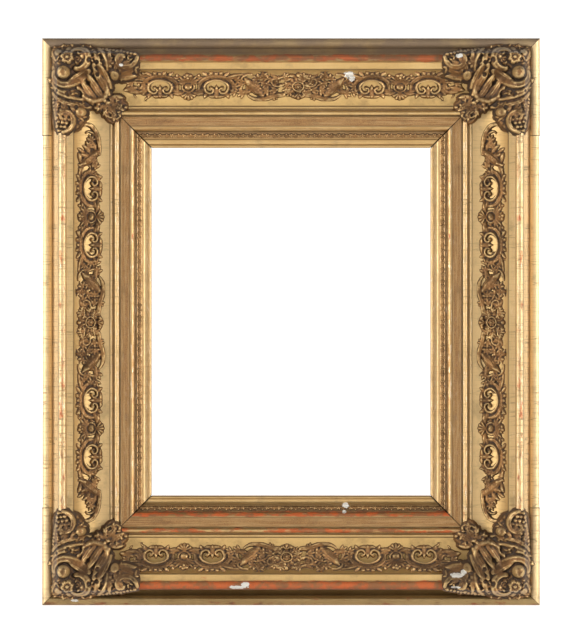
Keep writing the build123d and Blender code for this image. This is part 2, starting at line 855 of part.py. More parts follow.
def slip_vine(length):
    """Running leaves and berries along one length of the slip, on its sloping band."""
    rise = slip_band_height - slip_band_foot_height
    slope = atan2(rise, slip_band_width)
    across = hypot(slip_band_width, rise) - 2 * slip_vine_margin
    middle = (slip_band_height + slip_band_foot_height) / 2
    plane = Plane(
        origin=(0, back_y - middle, p_slip + slip_band_width / 2),
        x_dir=(1, 0, 0),
        z_dir=(0, -cos(slope), sin(slope)),
    )
    strip = Pos(0, 0, glue_gap + slip_vine_thickness / 2) * Box(length, across, slip_vine_thickness)
    shapes = [strip]
    count = int((length / 2 - p_slip) / slip_vine_unit)
    half = across * spike_share / 2
    for number in range(-count, count + 1):
        x = number * slip_vine_unit
        hand = 1 if number >= 0 else -1
        start = x + hand * slip_vine_berry_radius
        shapes.append(berry(slip_vine_berry_radius, x, 0, slip_vine_thickness))
        for y, angle in ((half, -vine_leaf_angle), (-half, vine_leaf_angle)):
            turned = angle if hand == 1 else half_turn - angle
            blade = leaf(slip_vine_leaf, slip_vine_leaf_width, start, y, slip_vine_thickness, turned)
            shapes.append(blade)
    body = plane * fuse(shapes)
    above = Pos(0, 0, glue_gap + frame_height / 2) * Box(2 * frame_height, across, frame_height)
    return body & (plane * above) & mitre_block(length, slip_mitre_gap + 2 * slip_vine_margin)


def build_slip_vines():
    for name, (place, length) in sides.items():
        parts["slip_leaves_" + name] = place(slip_vine(length))


# Hardware on the back
def back_rod(x, z, radius, start, end):
    """Round bar along Y at (x, z), from depth start to depth end behind the back plane."""
    return rod(x, z, radius, -start, -end) if start > end else rod(x, z, radius, -end, -start)


def button_places():
    found = []
    for side in (-1, 1):
        for step in (-1, 1):
            x = side * (frame_width / 2 - board_width + button_inset)
            found.append((x, frame_height / 2 + step * button_spacing / 2, step))
    return found


def button_names():
    return ["left_lower", "left_upper", "right_lower", "right_upper"]


def build_buttons():
    near = button_play
    far = near + button_thickness
    hole = button_screw_diameter / 2 + fit_clearance
    screws = []
    for name, (x, z, step) in zip(button_names(), button_places()):
        middle = z + step * (button_length / 2 - button_tail)
        bar = SlotOverall(button_length, button_width, rotation=quarter_turn)
        plate = extrude(front_plane(far) * Pos(x, middle) * bar, amount=button_thickness)
        parts["turn_button_" + name] = plate - back_rod(x, z, hole, 0, far + overrun)
        screws.append(screw(x, z, far + button_play, button_screw_diameter,
                            button_screw_head_diameter, button_screw_head_height, button_screw_length))
    parts["turn_button_screws"] = Compound(children=screws)


def screw(x, z, seat_depth, diameter, head_diameter, head_height, length):
    """Round-headed screw whose head sits at seat_depth behind the back plane, with a slot."""
    head_radius = head_diameter / 2
    dome_radius = (head_radius**2 + head_height**2) / (2 * head_height)
    ball = Pos(x, back_y + seat_depth + head_height - dome_radius, z) * Sphere(dome_radius)
    drum = back_rod(x, z, head_radius + overrun, seat_depth, seat_depth + head_height)
    slot_width = head_diameter * screw_slot_share
    slot = Box(head_diameter * 2, head_height, slot_width)
    slot = Pos(x, back_y + seat_depth + head_height, z) * slot
    shank = rod(x, z, diameter / 2, -seat_depth, length)
    return (ball & drum) + shank - slot


def screw_holes():
    """Pilot holes of all back screws in the boards."""
    holes = []
    for x, z, step in button_places():
        holes.append(rod(x, z, button_screw_diameter / 2, -overrun, button_screw_length))
    for x, z in strap_screw_places():
        holes.append(rod(x, z, strap_screw_diameter / 2, -overrun, strap_screw_length))
    return holes


def strap_screw_places():
    found = []
    for side in (-1, 1):
        x = side * (frame_width / 2 - hanger_inset)
        for drop in (strap_near_screw, strap_far_screw):
            found.append((x, hanger_height - drop))
    return found


def build_hangers():
    screws = []
    for x, z in strap_screw_places():
        screws.append(screw(x, z, strap_thickness, strap_screw_diameter, strap_screw_head_diameter,
                            strap_screw_head_height, strap_screw_length))
    parts["hanger_screws"] = Compound(children=screws)
    for side, name in ((-1, "left"), (1, "right")):
        x = side * (frame_width / 2 - hanger_inset)
        axis_place = Pos(x, back_y + barrel_height, hanger_height) * Rot(0, quarter_turn, 0)
        body = Pos(x, back_y + strap_thickness / 2, hanger_height - strap_length / 2) * Box(
            strap_width, strap_thickness, strap_length
        )
        body = fillet(body.edges().filter_by(Axis.Y).group_by(Axis.Z)[0], strap_width * tip_round_share)
        body = body + axis_place * Cylinder(barrel_radius, strap_width)
        body = body - axis_place * Cylinder(barrel_bore_radius, strap_width + overrun)
        for drop in (strap_near_screw, strap_far_screw):
            hole = strap_screw_diameter / 2 + fit_clearance / 2
            body = body - back_rod(x, hanger_height - drop, hole, 0, strap_thickness + overrun)
        parts["hanger_strap_" + name] = body
        parts["hanger_ring_" + name] = Pos(x, back_y + barrel_height, hanger_height) * d_ring()


def d_ring():
    """D-shaped ring hanging from its straight bar, in the XZ plane."""
    half = (ring_inner_width + ring_wire_diameter) / 2
    corner = ring_wire_diameter
    plane = Plane.XZ
    bar = Line((0, 0), (half - corner, 0))
    turn = JernArc(start=bar @ 1, tangent=(1, 0), radius=corner, arc_size=-quarter_turn)
    side = Line(turn @ 1, turn @ 1 + Vector(0, -ring_straight))
    bow = JernArc(start=side @ 1, tangent=(0, -1), radius=half, arc_size=-quarter_turn)
    path = plane * Wire([bar, turn, side, bow])
    section = Plane(origin=path @ 0, z_dir=path % 0) * Circle(ring_wire_radius)
    one = sweep(section, path=path)
    return one + mirror(one, about=Plane.YZ)


build_boards()
build_mouldings()
build_edges()
build_foliage(build_corners())
build_slip_vines()
build_buttons()
build_hangers()

os.makedirs("parts", exist_ok=True)
for name, shape in parts.items():
    export_step(shape, f"parts/{name}.step")
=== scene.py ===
from functools import reduce
from math import atan2, cos, hypot, pi, radians, sin, sqrt

import bpy
import numpy as np
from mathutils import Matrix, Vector


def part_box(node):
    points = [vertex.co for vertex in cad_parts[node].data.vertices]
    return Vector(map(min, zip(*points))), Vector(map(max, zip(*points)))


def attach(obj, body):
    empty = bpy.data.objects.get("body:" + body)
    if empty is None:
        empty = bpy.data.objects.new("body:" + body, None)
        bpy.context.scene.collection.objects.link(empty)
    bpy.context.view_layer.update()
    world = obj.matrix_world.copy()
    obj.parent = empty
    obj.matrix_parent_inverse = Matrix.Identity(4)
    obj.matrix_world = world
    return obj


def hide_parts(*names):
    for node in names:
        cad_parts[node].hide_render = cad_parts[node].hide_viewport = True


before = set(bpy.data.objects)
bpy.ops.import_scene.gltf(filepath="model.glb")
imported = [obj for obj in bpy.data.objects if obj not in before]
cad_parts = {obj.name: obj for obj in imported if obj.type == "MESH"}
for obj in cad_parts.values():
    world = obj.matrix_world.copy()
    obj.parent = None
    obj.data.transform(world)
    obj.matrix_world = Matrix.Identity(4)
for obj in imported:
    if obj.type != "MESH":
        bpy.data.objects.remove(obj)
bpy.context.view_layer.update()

bl_info = {
    "name": "Gilded Frame Finisher",
    "version": (1, 0, 0),
    "blender": (4, 5, 0),
    "location": "View3D > Sidebar > Gilded Frame",
    "description": "Carves the cast ornaments of a gilded picture frame and gilds, wears and lights it",
    "category": "Object",
}

MM = 0.001

# The frame as it was built, in metres, and the back plane that heights are measured from
EDGE_LOW, EDGE_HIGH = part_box("edge_top")
WIDTH = EDGE_HIGH[0] - EDGE_LOW[0]
HEIGHT = EDGE_HIGH[2]
BACK_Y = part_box("back_rail_top")[1][1]
HOLLOW_LOW, HOLLOW_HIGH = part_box("hollow_bottom")
CAST_REACH = -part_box("corner_top_left")[0][1] + BACK_Y
SIDES = ("top", "bottom", "left", "right")
CORNERS = (("bottom_left", -1, -1), ("bottom_right", 1, -1), ("top_left", -1, 1), ("top_right", 1, 1))
EDGE_JOINTS = (
    (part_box("edge_left_upper")[0][2] - HEIGHT / 2) / MM,
    (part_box("edge_left_lower")[1][2] - HEIGHT / 2) / MM,
)

# Hollow that carries the foliage, in millimetres from the outer edge and above the back plane
HOLLOW_START = HOLLOW_LOW[2] / MM
BEAD_WIDTH = 4.0
HOLLOW_END = HOLLOW_HIGH[2] / MM - BEAD_WIDTH
HOLLOW_TOP = (BACK_Y - HOLLOW_LOW[1]) / MM
HOLLOW_FOOT = 34.0
HOLLOW_SAG = 7.0
BAND_SHARE = 0.41

HOLLOW_CHORD = hypot(HOLLOW_END - HOLLOW_START, HOLLOW_TOP - HOLLOW_FOOT)
HOLLOW_RADIUS = (HOLLOW_CHORD**2 / 4 + HOLLOW_SAG**2) / (2 * HOLLOW_SAG)
HOLLOW_SLOPE = atan2(HOLLOW_TOP - HOLLOW_FOOT, HOLLOW_END - HOLLOW_START)
HOLLOW_RISE = HOLLOW_RADIUS - HOLLOW_SAG
HOLLOW_CENTRE = (
    (HOLLOW_START + HOLLOW_END) / 2 + HOLLOW_RISE * sin(HOLLOW_SLOPE),
    (HOLLOW_TOP + HOLLOW_FOOT) / 2 + HOLLOW_RISE * cos(HOLLOW_SLOPE),
)
BAND_OFFSET = HOLLOW_CHORD * (BAND_SHARE - 0.5)
BAND_SLOPE = HOLLOW_SLOPE - atan2(BAND_OFFSET, sqrt(HOLLOW_RADIUS**2 - BAND_OFFSET**2))

# Photograph: its size and the place of the frame's middle in it, both in pixels, and millimetres to a pixel
IMAGE_SIZE = (580, 640)
PHOTO_CENTRE = (291.0, 321.75)
SCALE = 1.127

# Foliage, in millimetres: places along a rail from its middle, the bare windows' radius, and how far it is let in
SCROLL_PLACES = (87.5, 151.0)
KNOT_PLACE = 119.2
RUN_SHIFTS = {"top": 3.5, "bottom": -1.0, "left": -1.0, "right": -1.0}
FLOWER_SHIFTS = {"top": 8.0, "bottom": -5.0, "left": -0.8, "right": -0.8}
WINDOW = 7.4
UNDERSIDE = -0.9

# Corner casts: how far their edges fall, how softly they turn over the mitre, and two lines across the rail as
# places and heights: the one they sit at, and the mouldings under them
CAST_SKIRT = -6.0
MITRE_SOFTNESS = 0.5
CAST_SEAT = (
    (0, 5.75, 11.5, 20.5, 29.5, 37, 45, 56, 76, 87, 94, 110),
    (40, 45, 46, 72, 72, 65, 54, 44, 39.5, 42.5, 40.5, 40.5),
)
CAST_BED = (
    (0, 5.75, 11.5, 14, 17, 20.5, 22, 25, 29.5, 37, 37.5, 44, 53, 65, 76, 80, 84.5, 88, 99, 104.5, 112.5),
    (37, 42, 36, 39, 46, 59, 65, 69, 61, 59, 54, 43, 37, 32, 33, 34, 39, 37, 36, 31, 25),
)

# Slip: where its band starts, how high it is there and its slope, how far the leaf strips stay off the mitres, the
# rails' ends and the band's edges, the width and depth of their hollows, and the repeat of the leaves
SLIP_START = 106.1
SLIP_TOP = 30.5
SLIP_DROP = (6.4, 3.0)
SLIP_SLOPE = atan2(SLIP_DROP[1], SLIP_DROP[0])
SLIP_TRIM = 1.0
SLIP_REACH = 105.0
SLIP_MARGIN = 0.4
SLIP_PATINA = (1.4, 0.5)
VINE_UNIT = 13.5
# Each leaf of a unit: place along and across, heading, length, width, height, bend
VINE_LEAVES = (
    (2.0, 0, 0, 6.6, 3.0, 1.5, -44), (6.2, -1.1, 10, 5.4, 2.6, 1.4, -30), (9.0, 0.6, -60, 4.6, 2.2, 1.3, 40),
)

# Near-black filler in the slip's open mitres, old dirt and painted shade: its reach from the outer edge, its
# heights, width and unevenness
MITRE_FILL_REACH = (97.0, 122.0)
MITRE_FILL_LEVELS = (16.4, 22.0)
MITRE_FILL_WIDTH = 1.6
MITRE_FILL_ROUGHNESS = 0.3

# How wide and deep the hollows are that the patina looks for in a carving
CAVITY_REACH = 3.0
CAVITY_DEPTH = 1.5

# Finish of the mouldings: bands and fades in millimetres across the rail or above the back plane, and profiles of
# (millimetres across the rail, amount)
PROFILE_SPAN = 125.0
FRIEZE = (88.8, 98.6)
LEAF_BAND = (106.4, 112.0)
SOOT_BAND = (19.5, 29.0)
EDGE_RIM = (11.5, 11.0)
OUTER_FADE = (60.0, 50.0)
CRACK_FADE = (90.0, 84.0)
MITRE_OPENING = (84.0, 106.0)
# Reach of the grey dust and painted shade on the top rail's outer mouldings
DUST_AND_SHADE_FADE = (24.0, 16.0)
# Reach of the painted shade on the bottom rail's outer mouldings
LOWER_RAIL_SHADE_FADE = (24.0, 18.0)
REBATE_ACROSS, REBATE_DEPTH = (108.0, 109.0), (16.2, 15.8)
SIDE_ACROSS, SIDE_DEPTH = (1.6, 1.2), (38.5, 37.5)
MATTE_PROFILE = ((0, 0.15), (29.5, 0.15), (31, 0.5), (36.5, 0.5), (38, 1), (75, 1), (77, 0.2), (125, 0.2))
BOLE_PROFILE = (
    (0, 0.5), (10, 0.35), (16, 0.3), (21, 0.75), (24, 1), (28, 0.9), (31, 0.35), (36.5, 0.35), (39, 0.12),
    (74, 0.12), (77, 0.55), (80, 0.4), (83, 0.85), (86, 0.8), (89, 0.35), (98, 0.35), (101, 0.9), (105, 0.8),
    (107, 0.5), (112, 0.4), (114, 0.25), (125, 0.25),
)
# Painted highlight: how much pale cream the side rails get across the rail, where the side lights fall
SIDE_HIGHLIGHT_PROFILE = (
    (0, 0.6), (10, 0.65), (12, 0.9), (19, 0.9), (21, 0.55), (30, 0.4), (37, 0.12), (60, 0.15), (66, 0.35),
    (76, 0.35), (80, 0.3), (88, 0.25), (90, 0), (98, 0), (100, 0.15), (106, 0.05), (112, 0.05), (114, 0.3),
    (125, 0.3),
)
TONE_PROFILE = (
    (0, 0), (19, 0), (21, 0.35), (27, 0.35), (30, 0.12), (36, 0.12), (38, 0.05), (74, 0.05), (77, 0.1), (80, 0.3),
    (83, 0.3), (88, 0.4), (99, 0.45), (101, 0.7), (106, 0.75), (112, 0.6), (114, 0.45), (125, 0.4),
)
# Painted glints: how many bright flecks fall at each place across the rail
PAINTED_GLINT_PROFILE = (
    (0, 0.4), (10, 0.3), (20, 0.3), (22, 1), (28, 1), (30, 0.4), (38, 0), (74, 0), (78, 0.7), (80, 0.3), (82, 1),
    (87, 1), (89, 0.15), (98, 0.2), (100, 0.9), (105, 0.8), (107, 0.2), (113, 0.5), (125, 0.7),
)
# Each quirk that holds grime and gets painted shade: its place, half width and depth of tone
QUIRKS = (
    (11.3, 0.9, 0.5), (20.6, 1.0, 0.45), (29.6, 0.7, 0.4), (37.2, 0.9, 0.55), (76.3, 1.1, 0.85), (80.8, 1.0, 0.95),
    (88, 1.0, 0.9), (99.2, 0.8, 0.8), (106, 0.8, 1), (113, 0.8, 0.6),
)
QUIRK_SHADE_PROFILE = tuple((place + k * wide, (1 - abs(k)) * deep) for place, wide, deep in QUIRKS for k in (-1, 0, 1))

# Lost chips of gesso in the photograph: column, row, half width and half height in pixels
CHIPS = (
    (349, 75.6, 5.6, 3.2), (352, 79, 3.2, 3.4), (238, 584.5, 9, 1.8), (246, 581.5, 4.5, 2.2), (346, 506, 3.5, 2.4),
    (344.5, 512, 2.2, 1.5), (75, 600, 4, 1.5), (455, 572.5, 7.5, 2.3), (462, 570, 3, 2.4), (454, 584, 5, 1.1),
    (123, 68, 2, 1.5), (457, 59, 4, 2.2),
)

# Colours that aren't settings; a pair runs from its first colour to its second
SAND = ((0.20, 0.085, 0.022), (0.52, 0.28, 0.09))
SAND_STAIN = (0.13, 0.05, 0.014)
LEAF_GROUND = (0.30, 0.165, 0.065)
# Near-white colour of the painted glints
PAINTED_GLINT = (1.0, 0.86, 0.66)
DARK_BOLE = (0.27, 0.09, 0.03)
# Colour of the painted shade on the bottom rail's outer mouldings
LOWER_RAIL_SHADE = (0.085, 0.055, 0.022)
SIDE_PAINT = ((0.30, 0.17, 0.06), (0.46, 0.30, 0.12))
DARK_PINE = (0.20, 0.12, 0.06)
PINE_GRAIN = (0.20, 0.105, 0.045)
GESSO = (0.80, 0.77, 0.70)
WARM_BRONZE = (0.32, 0.12, 0.05)
PEG_END = ((0.30, 0.19, 0.10), (0.12, 0.07, 0.035))
# Near-black dirt, dark enough to stand in for the shade of an open mitre
DIRT_AND_SHADE = ((0.012, 0.007, 0.004), (0.05, 0.03, 0.016))
BRASS = ((0.60, 0.40, 0.13), (0.22, 0.14, 0.06))
STEEL = ((0.34, 0.31, 0.28), (0.12, 0.055, 0.03))
WHITE = (1, 1, 1, 1)
WARM_WHITE = (1.0, 0.985, 0.95)
PAPER = (0.8, 0.8, 0.8, 1)

# Bump depth of the gilding in metres, and the shift in mm that gives the side rails a pattern of their own
BUMP_DEPTH = 0.0003
UPRIGHT_SHIFT = 700.0

# Stage, in metres: its planes, how bright they show, and each softbox's place across, towards the camera and up
STAGE_SIZE = 14
FLOOR_DROP = -0.0003
BACKDROP_Y = 6.0
FLOOR_GLOW = 0.86
BACKDROP_GLOW = 0.95
SIDE_BOX = (2.3, -1.35, HEIGHT / 2)
SIDE_BOX_SIZE = (1.1, 1.3)
FRONT_BOX = (0, -3.4, 0.9)
FRONT_BOX_SIZE = (1.6, 0.8)

# Relief: a height field in millimetres that strokes, leaves and beads are carved into. A skirt falls by
# SKIRT_FALL for each step of the grid, from SKIRT_TOP down, and a dimple leaves at least THINNEST
GROUND = -0.35
SKIRT_FALL = 4.5
SKIRT_TOP = 2.0
THINNEST = 0.1
NEIGHBOURS = [(i, j, hypot(i, j)) for i in (-1, 0, 1) for j in (-1, 0, 1) if i or j]


class Relief:
    """Carved surface over a rectangle, at one height for each grid point."""

    def __init__(self, low, high, pitch):
        self.pitch = pitch
        self.count = [int(round((b - a) / pitch)) + 1 for a, b in zip(low, high)]
        self.x = low[0] + np.arange(self.count[0]) * pitch
        self.y = low[1] + np.arange(self.count[1]) * pitch
        self.height = np.full(self.count, GROUND)
        self.patina = (CAVITY_REACH, CAVITY_DEPTH)

    def window(self, x0, x1, y0, y1):
        """Slices, and coordinates, of the grid points within a box."""
        i0, i1 = np.searchsorted(self.x, (x0, x1))
        j0, j1 = np.searchsorted(self.y, (y0, y1))
        grid = np.meshgrid(self.x[i0:i1], self.y[j0:j1], indexing="ij")
        return (slice(i0, i1), slice(j0, j1)), grid[0], grid[1]

    def raise_to(self, place, height, inside):
        """Raises the points inside a mask to height, where they are lower."""
        part = self.height[place]
        part[inside] = np.maximum(part[inside], height[inside])

    def sink(self, x, y, radius, depth):
        """Presses a round dimple into what is there."""
        place, gx, gy = self.window(x - radius, x + radius, y - radius, y + radius)
        u = np.hypot(gx - x, gy - y) / radius
        part = self.height[place]
        part[:] = np.where((u < 1) & (part > 0), np.maximum(part - depth * (1 - u**2), THINNEST), part)

    def fill(self, points, level):
        """Raises all that lies inside an outline."""
        gx, gy = np.meshgrid(self.x, self.y, indexing="ij")
        inside = np.zeros(gx.shape, bool)
        for (ax, ay), (bx, by) in zip(points, points[1:] + points[:1]):
            crosses = (ay > gy) != (by > gy)
            run = (bx - ax) / (by - ay) if by != ay else 0.0
            inside ^= crosses & (gx < ax + (gy - ay) * run)
        self.raise_to((slice(None), slice(None)), np.full(gx.shape, level), inside)

    def skirt(self, floor):
        """Lets the carved edge fall steeply to floor instead of ending in the air."""
        self.height[self.height <= GROUND] = floor
        fall = SKIRT_FALL * self.pitch
        for _ in range(int((SKIRT_TOP - floor) / fall) + 1):
            padded = np.pad(self.height, 1, constant_values=floor)
            for i, j, steps in NEIGHBOURS:
                moved = padded[1 + i : 1 + i + self.count[0], 1 + j : 1 + j + self.count[1]]
                self.height = np.maximum(self.height, moved - fall * steps)

    def bead(self, x, y, radius, height, base=0.0):
        """Raises a round bead."""
        place, gx, gy = self.window(x - radius, x + radius, y - radius, y + radius)
        u = np.hypot(gx - x, gy - y) / radius
        inside = u < 1
        self.raise_to(place, base + height * np.sqrt(np.clip(1 - u**2, 0, 1)), inside)

    def stroke(self, points, widths, heights, section, base=0.0):
        """Carves along a line of points with half widths, heights and a cross-section."""
        for k in range(len(points) - 1):
            (ax, ay), (bx, by) = points[k], points[k + 1]
            reach = max(widths[k], widths[k + 1])
            place, gx, gy = self.window(
                min(ax, bx) - reach, max(ax, bx) + reach, min(ay, by) - reach, max(ay, by) + reach
            )
            if gx.size == 0:
                continue
            dx, dy = bx - ax, by - ay
            long = dx * dx + dy * dy
            t = np.clip(((gx - ax) * dx + (gy - ay) * dy) / max(long, 1e-9), 0, 1)
            ox, oy = gx - ax - t * dx, gy - ay - t * dy
            side = np.sign(dx * oy - dy * ox)
            width = widths[k] + (widths[k + 1] - widths[k]) * t
            v = side * np.hypot(ox, oy) / np.maximum(width, 1e-6)
            level = heights[k] + (heights[k + 1] - heights[k]) * t
            self.raise_to(place, base + level * section(v), np.abs(v) < 1)


def rounded(v):
    """Half-round cross-section."""
    return np.sqrt(np.clip(1 - v**2, 0, 1))


def rimmed(v):
    """Band with a raised rim on both sides of a groove."""
    edge = np.sqrt(np.clip(1 - np.abs(v) ** 5, 0, 1))
    return edge * (0.56 + 0.44 * np.clip(np.abs(v) / 0.62, 0, 1) ** 2)


def fluted(count):
    """Cross-section of a leaf with count ribs."""

    def section(v):
        dome = np.sqrt(np.clip(1 - v**2, 0, 1))
        return dome * (0.66 + 0.34 * np.abs(np.cos(count * pi * v / 2)))

    return section


def trail(x, y, heading, *bends):
    """Points along bends, each (first radius, last radius, turn in degrees)."""
    points = [(x, y)]
    angle = radians(heading)
    for first, last, turn in bends:
        swing = radians(turn)
        length = abs(swing) * 2 * first * last / (first + last)
        steps = max(3, int(length / 0.9))
        for i in range(steps):
            share = (i + 0.5) / steps
            bend = 1 / first + (1 / last - 1 / first) * share
            step = length / steps
            angle += np.sign(swing) * bend * step
            x += cos(angle) * step
            y += sin(angle) * step
            points.append((x, y))
    return points


def taper(count, start, middle, end, peak=0.5):
    """Values that rise from start to middle and fall to end."""
    t = np.linspace(0, 1, count)
    rise = start + (middle - start) * np.sin(np.clip(t / peak, 0, 1) * pi / 2)
    fall = end + (middle - end) * np.cos(np.clip((t - peak) / (1 - peak), 0, 1) * pi / 2)
    return np.where(t < peak, rise, fall)


def leaf(relief, x, y, heading, length, width, height, ribs=3, bend=0.0, base=0.0):
    """Pointed fluted leaf that may curl sideways by bend degrees."""
    if abs(bend) < 1:
        along = np.linspace(0, length, 12)
        points = [(x + cos(radians(heading)) * a, y + sin(radians(heading)) * a) for a in along]
    else:
        radius = length / abs(radians(bend))
        points = trail(x, y, heading, (radius, radius, bend))
    widths = taper(len(points), width * 0.25, width / 2, 0.25, 0.42)
    heights = taper(len(points), height * 0.7, height, height * 0.55, 0.6)
    relief.stroke(points, widths, heights, fluted(ribs), base)


def scroll(relief, x, y, heading, bends, width, height, section=rounded, eye=1.45, base=0.0):
    """Tapering stem along bends that ends in a raised eye."""
    points = trail(x, y, heading, *bends)
    widths = taper(len(points), width * 0.8, width, width * 0.62, 0.35)
    heights = taper(len(points), height * 0.85, height, height * 0.95, 0.5)
    relief.stroke(points, widths, heights, section, base)
    end_x, end_y = points[-1]
    relief.bead(end_x, end_y, width * 0.62 * eye, height * 1.12, base)


def ribbon(relief, start, bends, widths, heights, section=rimmed):
    """Band along bends from a start (x, y, heading), with tapering half widths and heights."""
    points = trail(*start, *bends)
    relief.stroke(points, taper(len(points), *widths), taper(len(points), *heights), section)


def rosette(relief, x, y, radius, petals, height, base=0.0, turn=0.0):
    """Flower with cupped petals round a seeded eye."""
    for k in range(petals):
        angle = turn + 360 * k / petals
        reach = radius * 0.62
        cx, cy = x + cos(radians(angle)) * reach, y + sin(radians(angle)) * reach
        relief.bead(cx, cy, radius * 0.40, height * 0.86, base)
        relief.sink(cx, cy, radius * 0.22, height * 0.3)
    relief.bead(x, y, radius * 0.34, height * 1.15, base)
    for k in range(5):
        angle = radians(72 * k + turn)
        reach = radius * 0.17
        relief.bead(x + cos(angle) * reach, y + sin(angle) * reach, radius * 0.1, height * 1.3, base)


def shell(relief, x, y, radius, first, last, ribs, height, base=0.0):
    """Fan of ribs with a scalloped rim, between two angles."""
    place, gx, gy = relief.window(x - radius * 1.1, x + radius * 1.1, y - radius * 1.1, y + radius * 1.1)
    middle = radians((first + last) / 2)
    half = radians((last - first) / 2)
    turn = np.arctan2(gy - y, gx - x) - middle
    turn = (turn + pi) % (2 * pi) - pi
    share = turn / half
    lobe = np.abs(np.cos(share * ribs * pi / 2))
    reach = radius * (0.9 + 0.1 * lobe)
    u = np.hypot(gx - x, gy - y) / reach
    level = np.sqrt(np.clip(1 - (u * 2 - 1) ** 2 * 0.8, 0, 1)) * (0.62 + 0.38 * lobe)
    relief.raise_to(place, base + height * level, (u < 1) & (np.abs(share) < 1))


def c_scroll(relief, x):
    """Arched scroll round a bare window, a volute at each end and a cusp leaf between them."""
    leaf(relief, x, 17.5, -90, 13.5, 6.5, 3.0, ribs=3, base=0.5)
    leaf(relief, x - 1, 15.5, 25, 10, 5.0, 2.6, ribs=2, bend=-35, base=0.4)
    leaf(relief, x + 1, 15.5, 155, 10, 5.0, 2.6, ribs=2, bend=35, base=0.4)
    relief.bead(x, 16.8, 1.9, 3.4)
    for hand in (-1, 1):
        heading = 90 - 90 * hand
        inner = [(20, 13, 45 * hand), (9, 8, 70 * hand), (7, 4.5, 90 * hand), (4.2, 2.4, 150 * hand)]
        scroll(relief, x, -4.2, heading, inner, 2.0, 3.9, eye=1.5)
        outer = [(26, 20, 42 * hand), (16, 13, 40 * hand), (13, 9, 40 * hand)]
        ribbon(relief, (x, -9.3, heading), outer, (2.6, 2.6, 0.8, 0.4), (2.8, 3.0, 1.6))
        low = [(21, 15, 60 * hand), (11, 9, 70 * hand)]
        ribbon(relief, (x, -6.8, heading), low, (4.8, 4.8, 3.0), (1.3, 1.3, 0.9), rounded)
        for far, out, angle, length in ((3.0, -11.0, -42, 7.5), (9.5, -10.0, -28, 8.0), (15.5, -6.5, 5, 7.0)):
            angle = angle if hand > 0 else 180 - angle
            leaf(relief, x + hand * far, out, angle, length, 4.6, 2.9, ribs=2, bend=-28 * hand)
        relief.bead(x + hand * 6.5, -12.4, 1.6, 2.5)
        relief.bead(x + hand * 10.5, 13.0, 1.9, 3.0)
        leaf(relief, x + hand * 9, 12, 90 - hand * 50, 9, 5.0, 2.8, ribs=3, bend=hand * 30)
        leaf(relief, x + hand * 12, 9, 90 - hand * 85, 8.5, 4.6, 2.6, ribs=3, bend=hand * 40)
    relief.bead(x, -12.6, 2.3, 3.4)
    relief.sink(x, -12.6, 1.1, 1.4)


def knot(relief, x):
    """Round boss in a collar with a skirt of gadroons, a ribbed cap and a small flower."""
    for angle, length, width in ((-90, 13, 6), (-68, 14, 5), (-48, 16, 5), (-30, 17, 4.6), (-12, 14, 4.2)):
        leaf(relief, x, 2.5, angle, length, width, 2.9, ribs=3)
        leaf(relief, x, 2.5, -180 - angle, length, width, 2.9, ribs=3)
    for hand in (-1, 1):
        leaf(relief, x + hand * 4.5, 12.5, 90 - hand * 72, 14, 5.6, 3.0, ribs=3, bend=-24 * hand)
        leaf(relief, x + hand * 9, 12, 90 - hand * 112, 10, 4.6, 2.6, ribs=2, bend=40 * hand)
        relief.bead(x + hand * 12.5, -10.5, 1.7, 2.8)
    ring = [(x + cos(a) * 6.6, 5.3 + sin(a) * 6.2) for a in np.linspace(0, 2 * pi, 33)]
    relief.stroke(ring, [1.5] * 33, [2.7] * 33, rounded)
    relief.bead(x, 5.3, 4.7, 4.9, 0.6)
    shell(relief, x, 11.8, 9.8, 22, 158, 5, 4.6)
    relief.bead(x, 12.8, 2.4, 3.4)
    rosette(relief, x, -8.3, 4.9, 5, 3.6, base=0.6)


def sprig(relief, x, y, heading, size, count=3, spread=38, height=2.9):
    """Small cluster of fluted leaves round a berry."""
    for k in range(count):
        angle = heading + spread * (k - (count - 1) / 2)
        length = size * (1 - 0.12 * abs(k - (count - 1) / 2))
        leaf(relief, x, y, angle, length, size * 0.42, height, ribs=3)
    relief.bead(x, y, size * 0.17, height * 1.05)


def centre_flower(relief):
    """Round flower in a wreath of leaves with three buds on the side of the opening."""
    for k in range(12):
        angle = 30 * k + 15
        leaf(relief, 5.2 * cos(radians(angle)), 4.0 + 5.2 * sin(radians(angle)), angle, 7.2, 5.6, 3.1, ribs=2)
    ring = [(cos(a) * 6.2, 4.0 + sin(a) * 6.2) for a in np.linspace(0, 2 * pi, 37)]
    relief.stroke(ring, [1.3] * 37, [4.0] * 37, rounded)
    rosette(relief, 0, 4.0, 5.0, 6, 4.2, base=0.7, turn=30)
    shell(relief, 0, 13.2, 7.6, 30, 150, 3, 4.4)
    for x, y, radius in ((0, 18.2, 2.6), (-5.2, 16.4, 2.2), (5.2, 16.4, 2.2), (0, -12.0, 2.4)):
        relief.bead(x, y, radius, 4.2)
    for x in (-11.5, 11.5):
        sprig(relief, x * 0.8, 11.0, 90 - x * 4, 8.0, count=4)
        sprig(relief, x, -6.0, 270 + x * 4, 7.0, count=4)
        sprig(relief, x, 3.0, 90 - x * 7, 7.0, count=4)
    relief.sink(-2.8, 13.0, 1.7, 3.2)
    relief.sink(2.8, 13.0, 1.7, 3.2)
    for hand in (-1, 1):
        leaf(relief, hand * 3, -7.5, 90 - hand * 128, 8.5, 5.2, 3.0, ribs=3, bend=28 * hand)
        leaf(relief, hand * 7, -4.5, 90 - hand * 104, 7.5, 4.8, 2.8, ribs=3, bend=34 * hand)


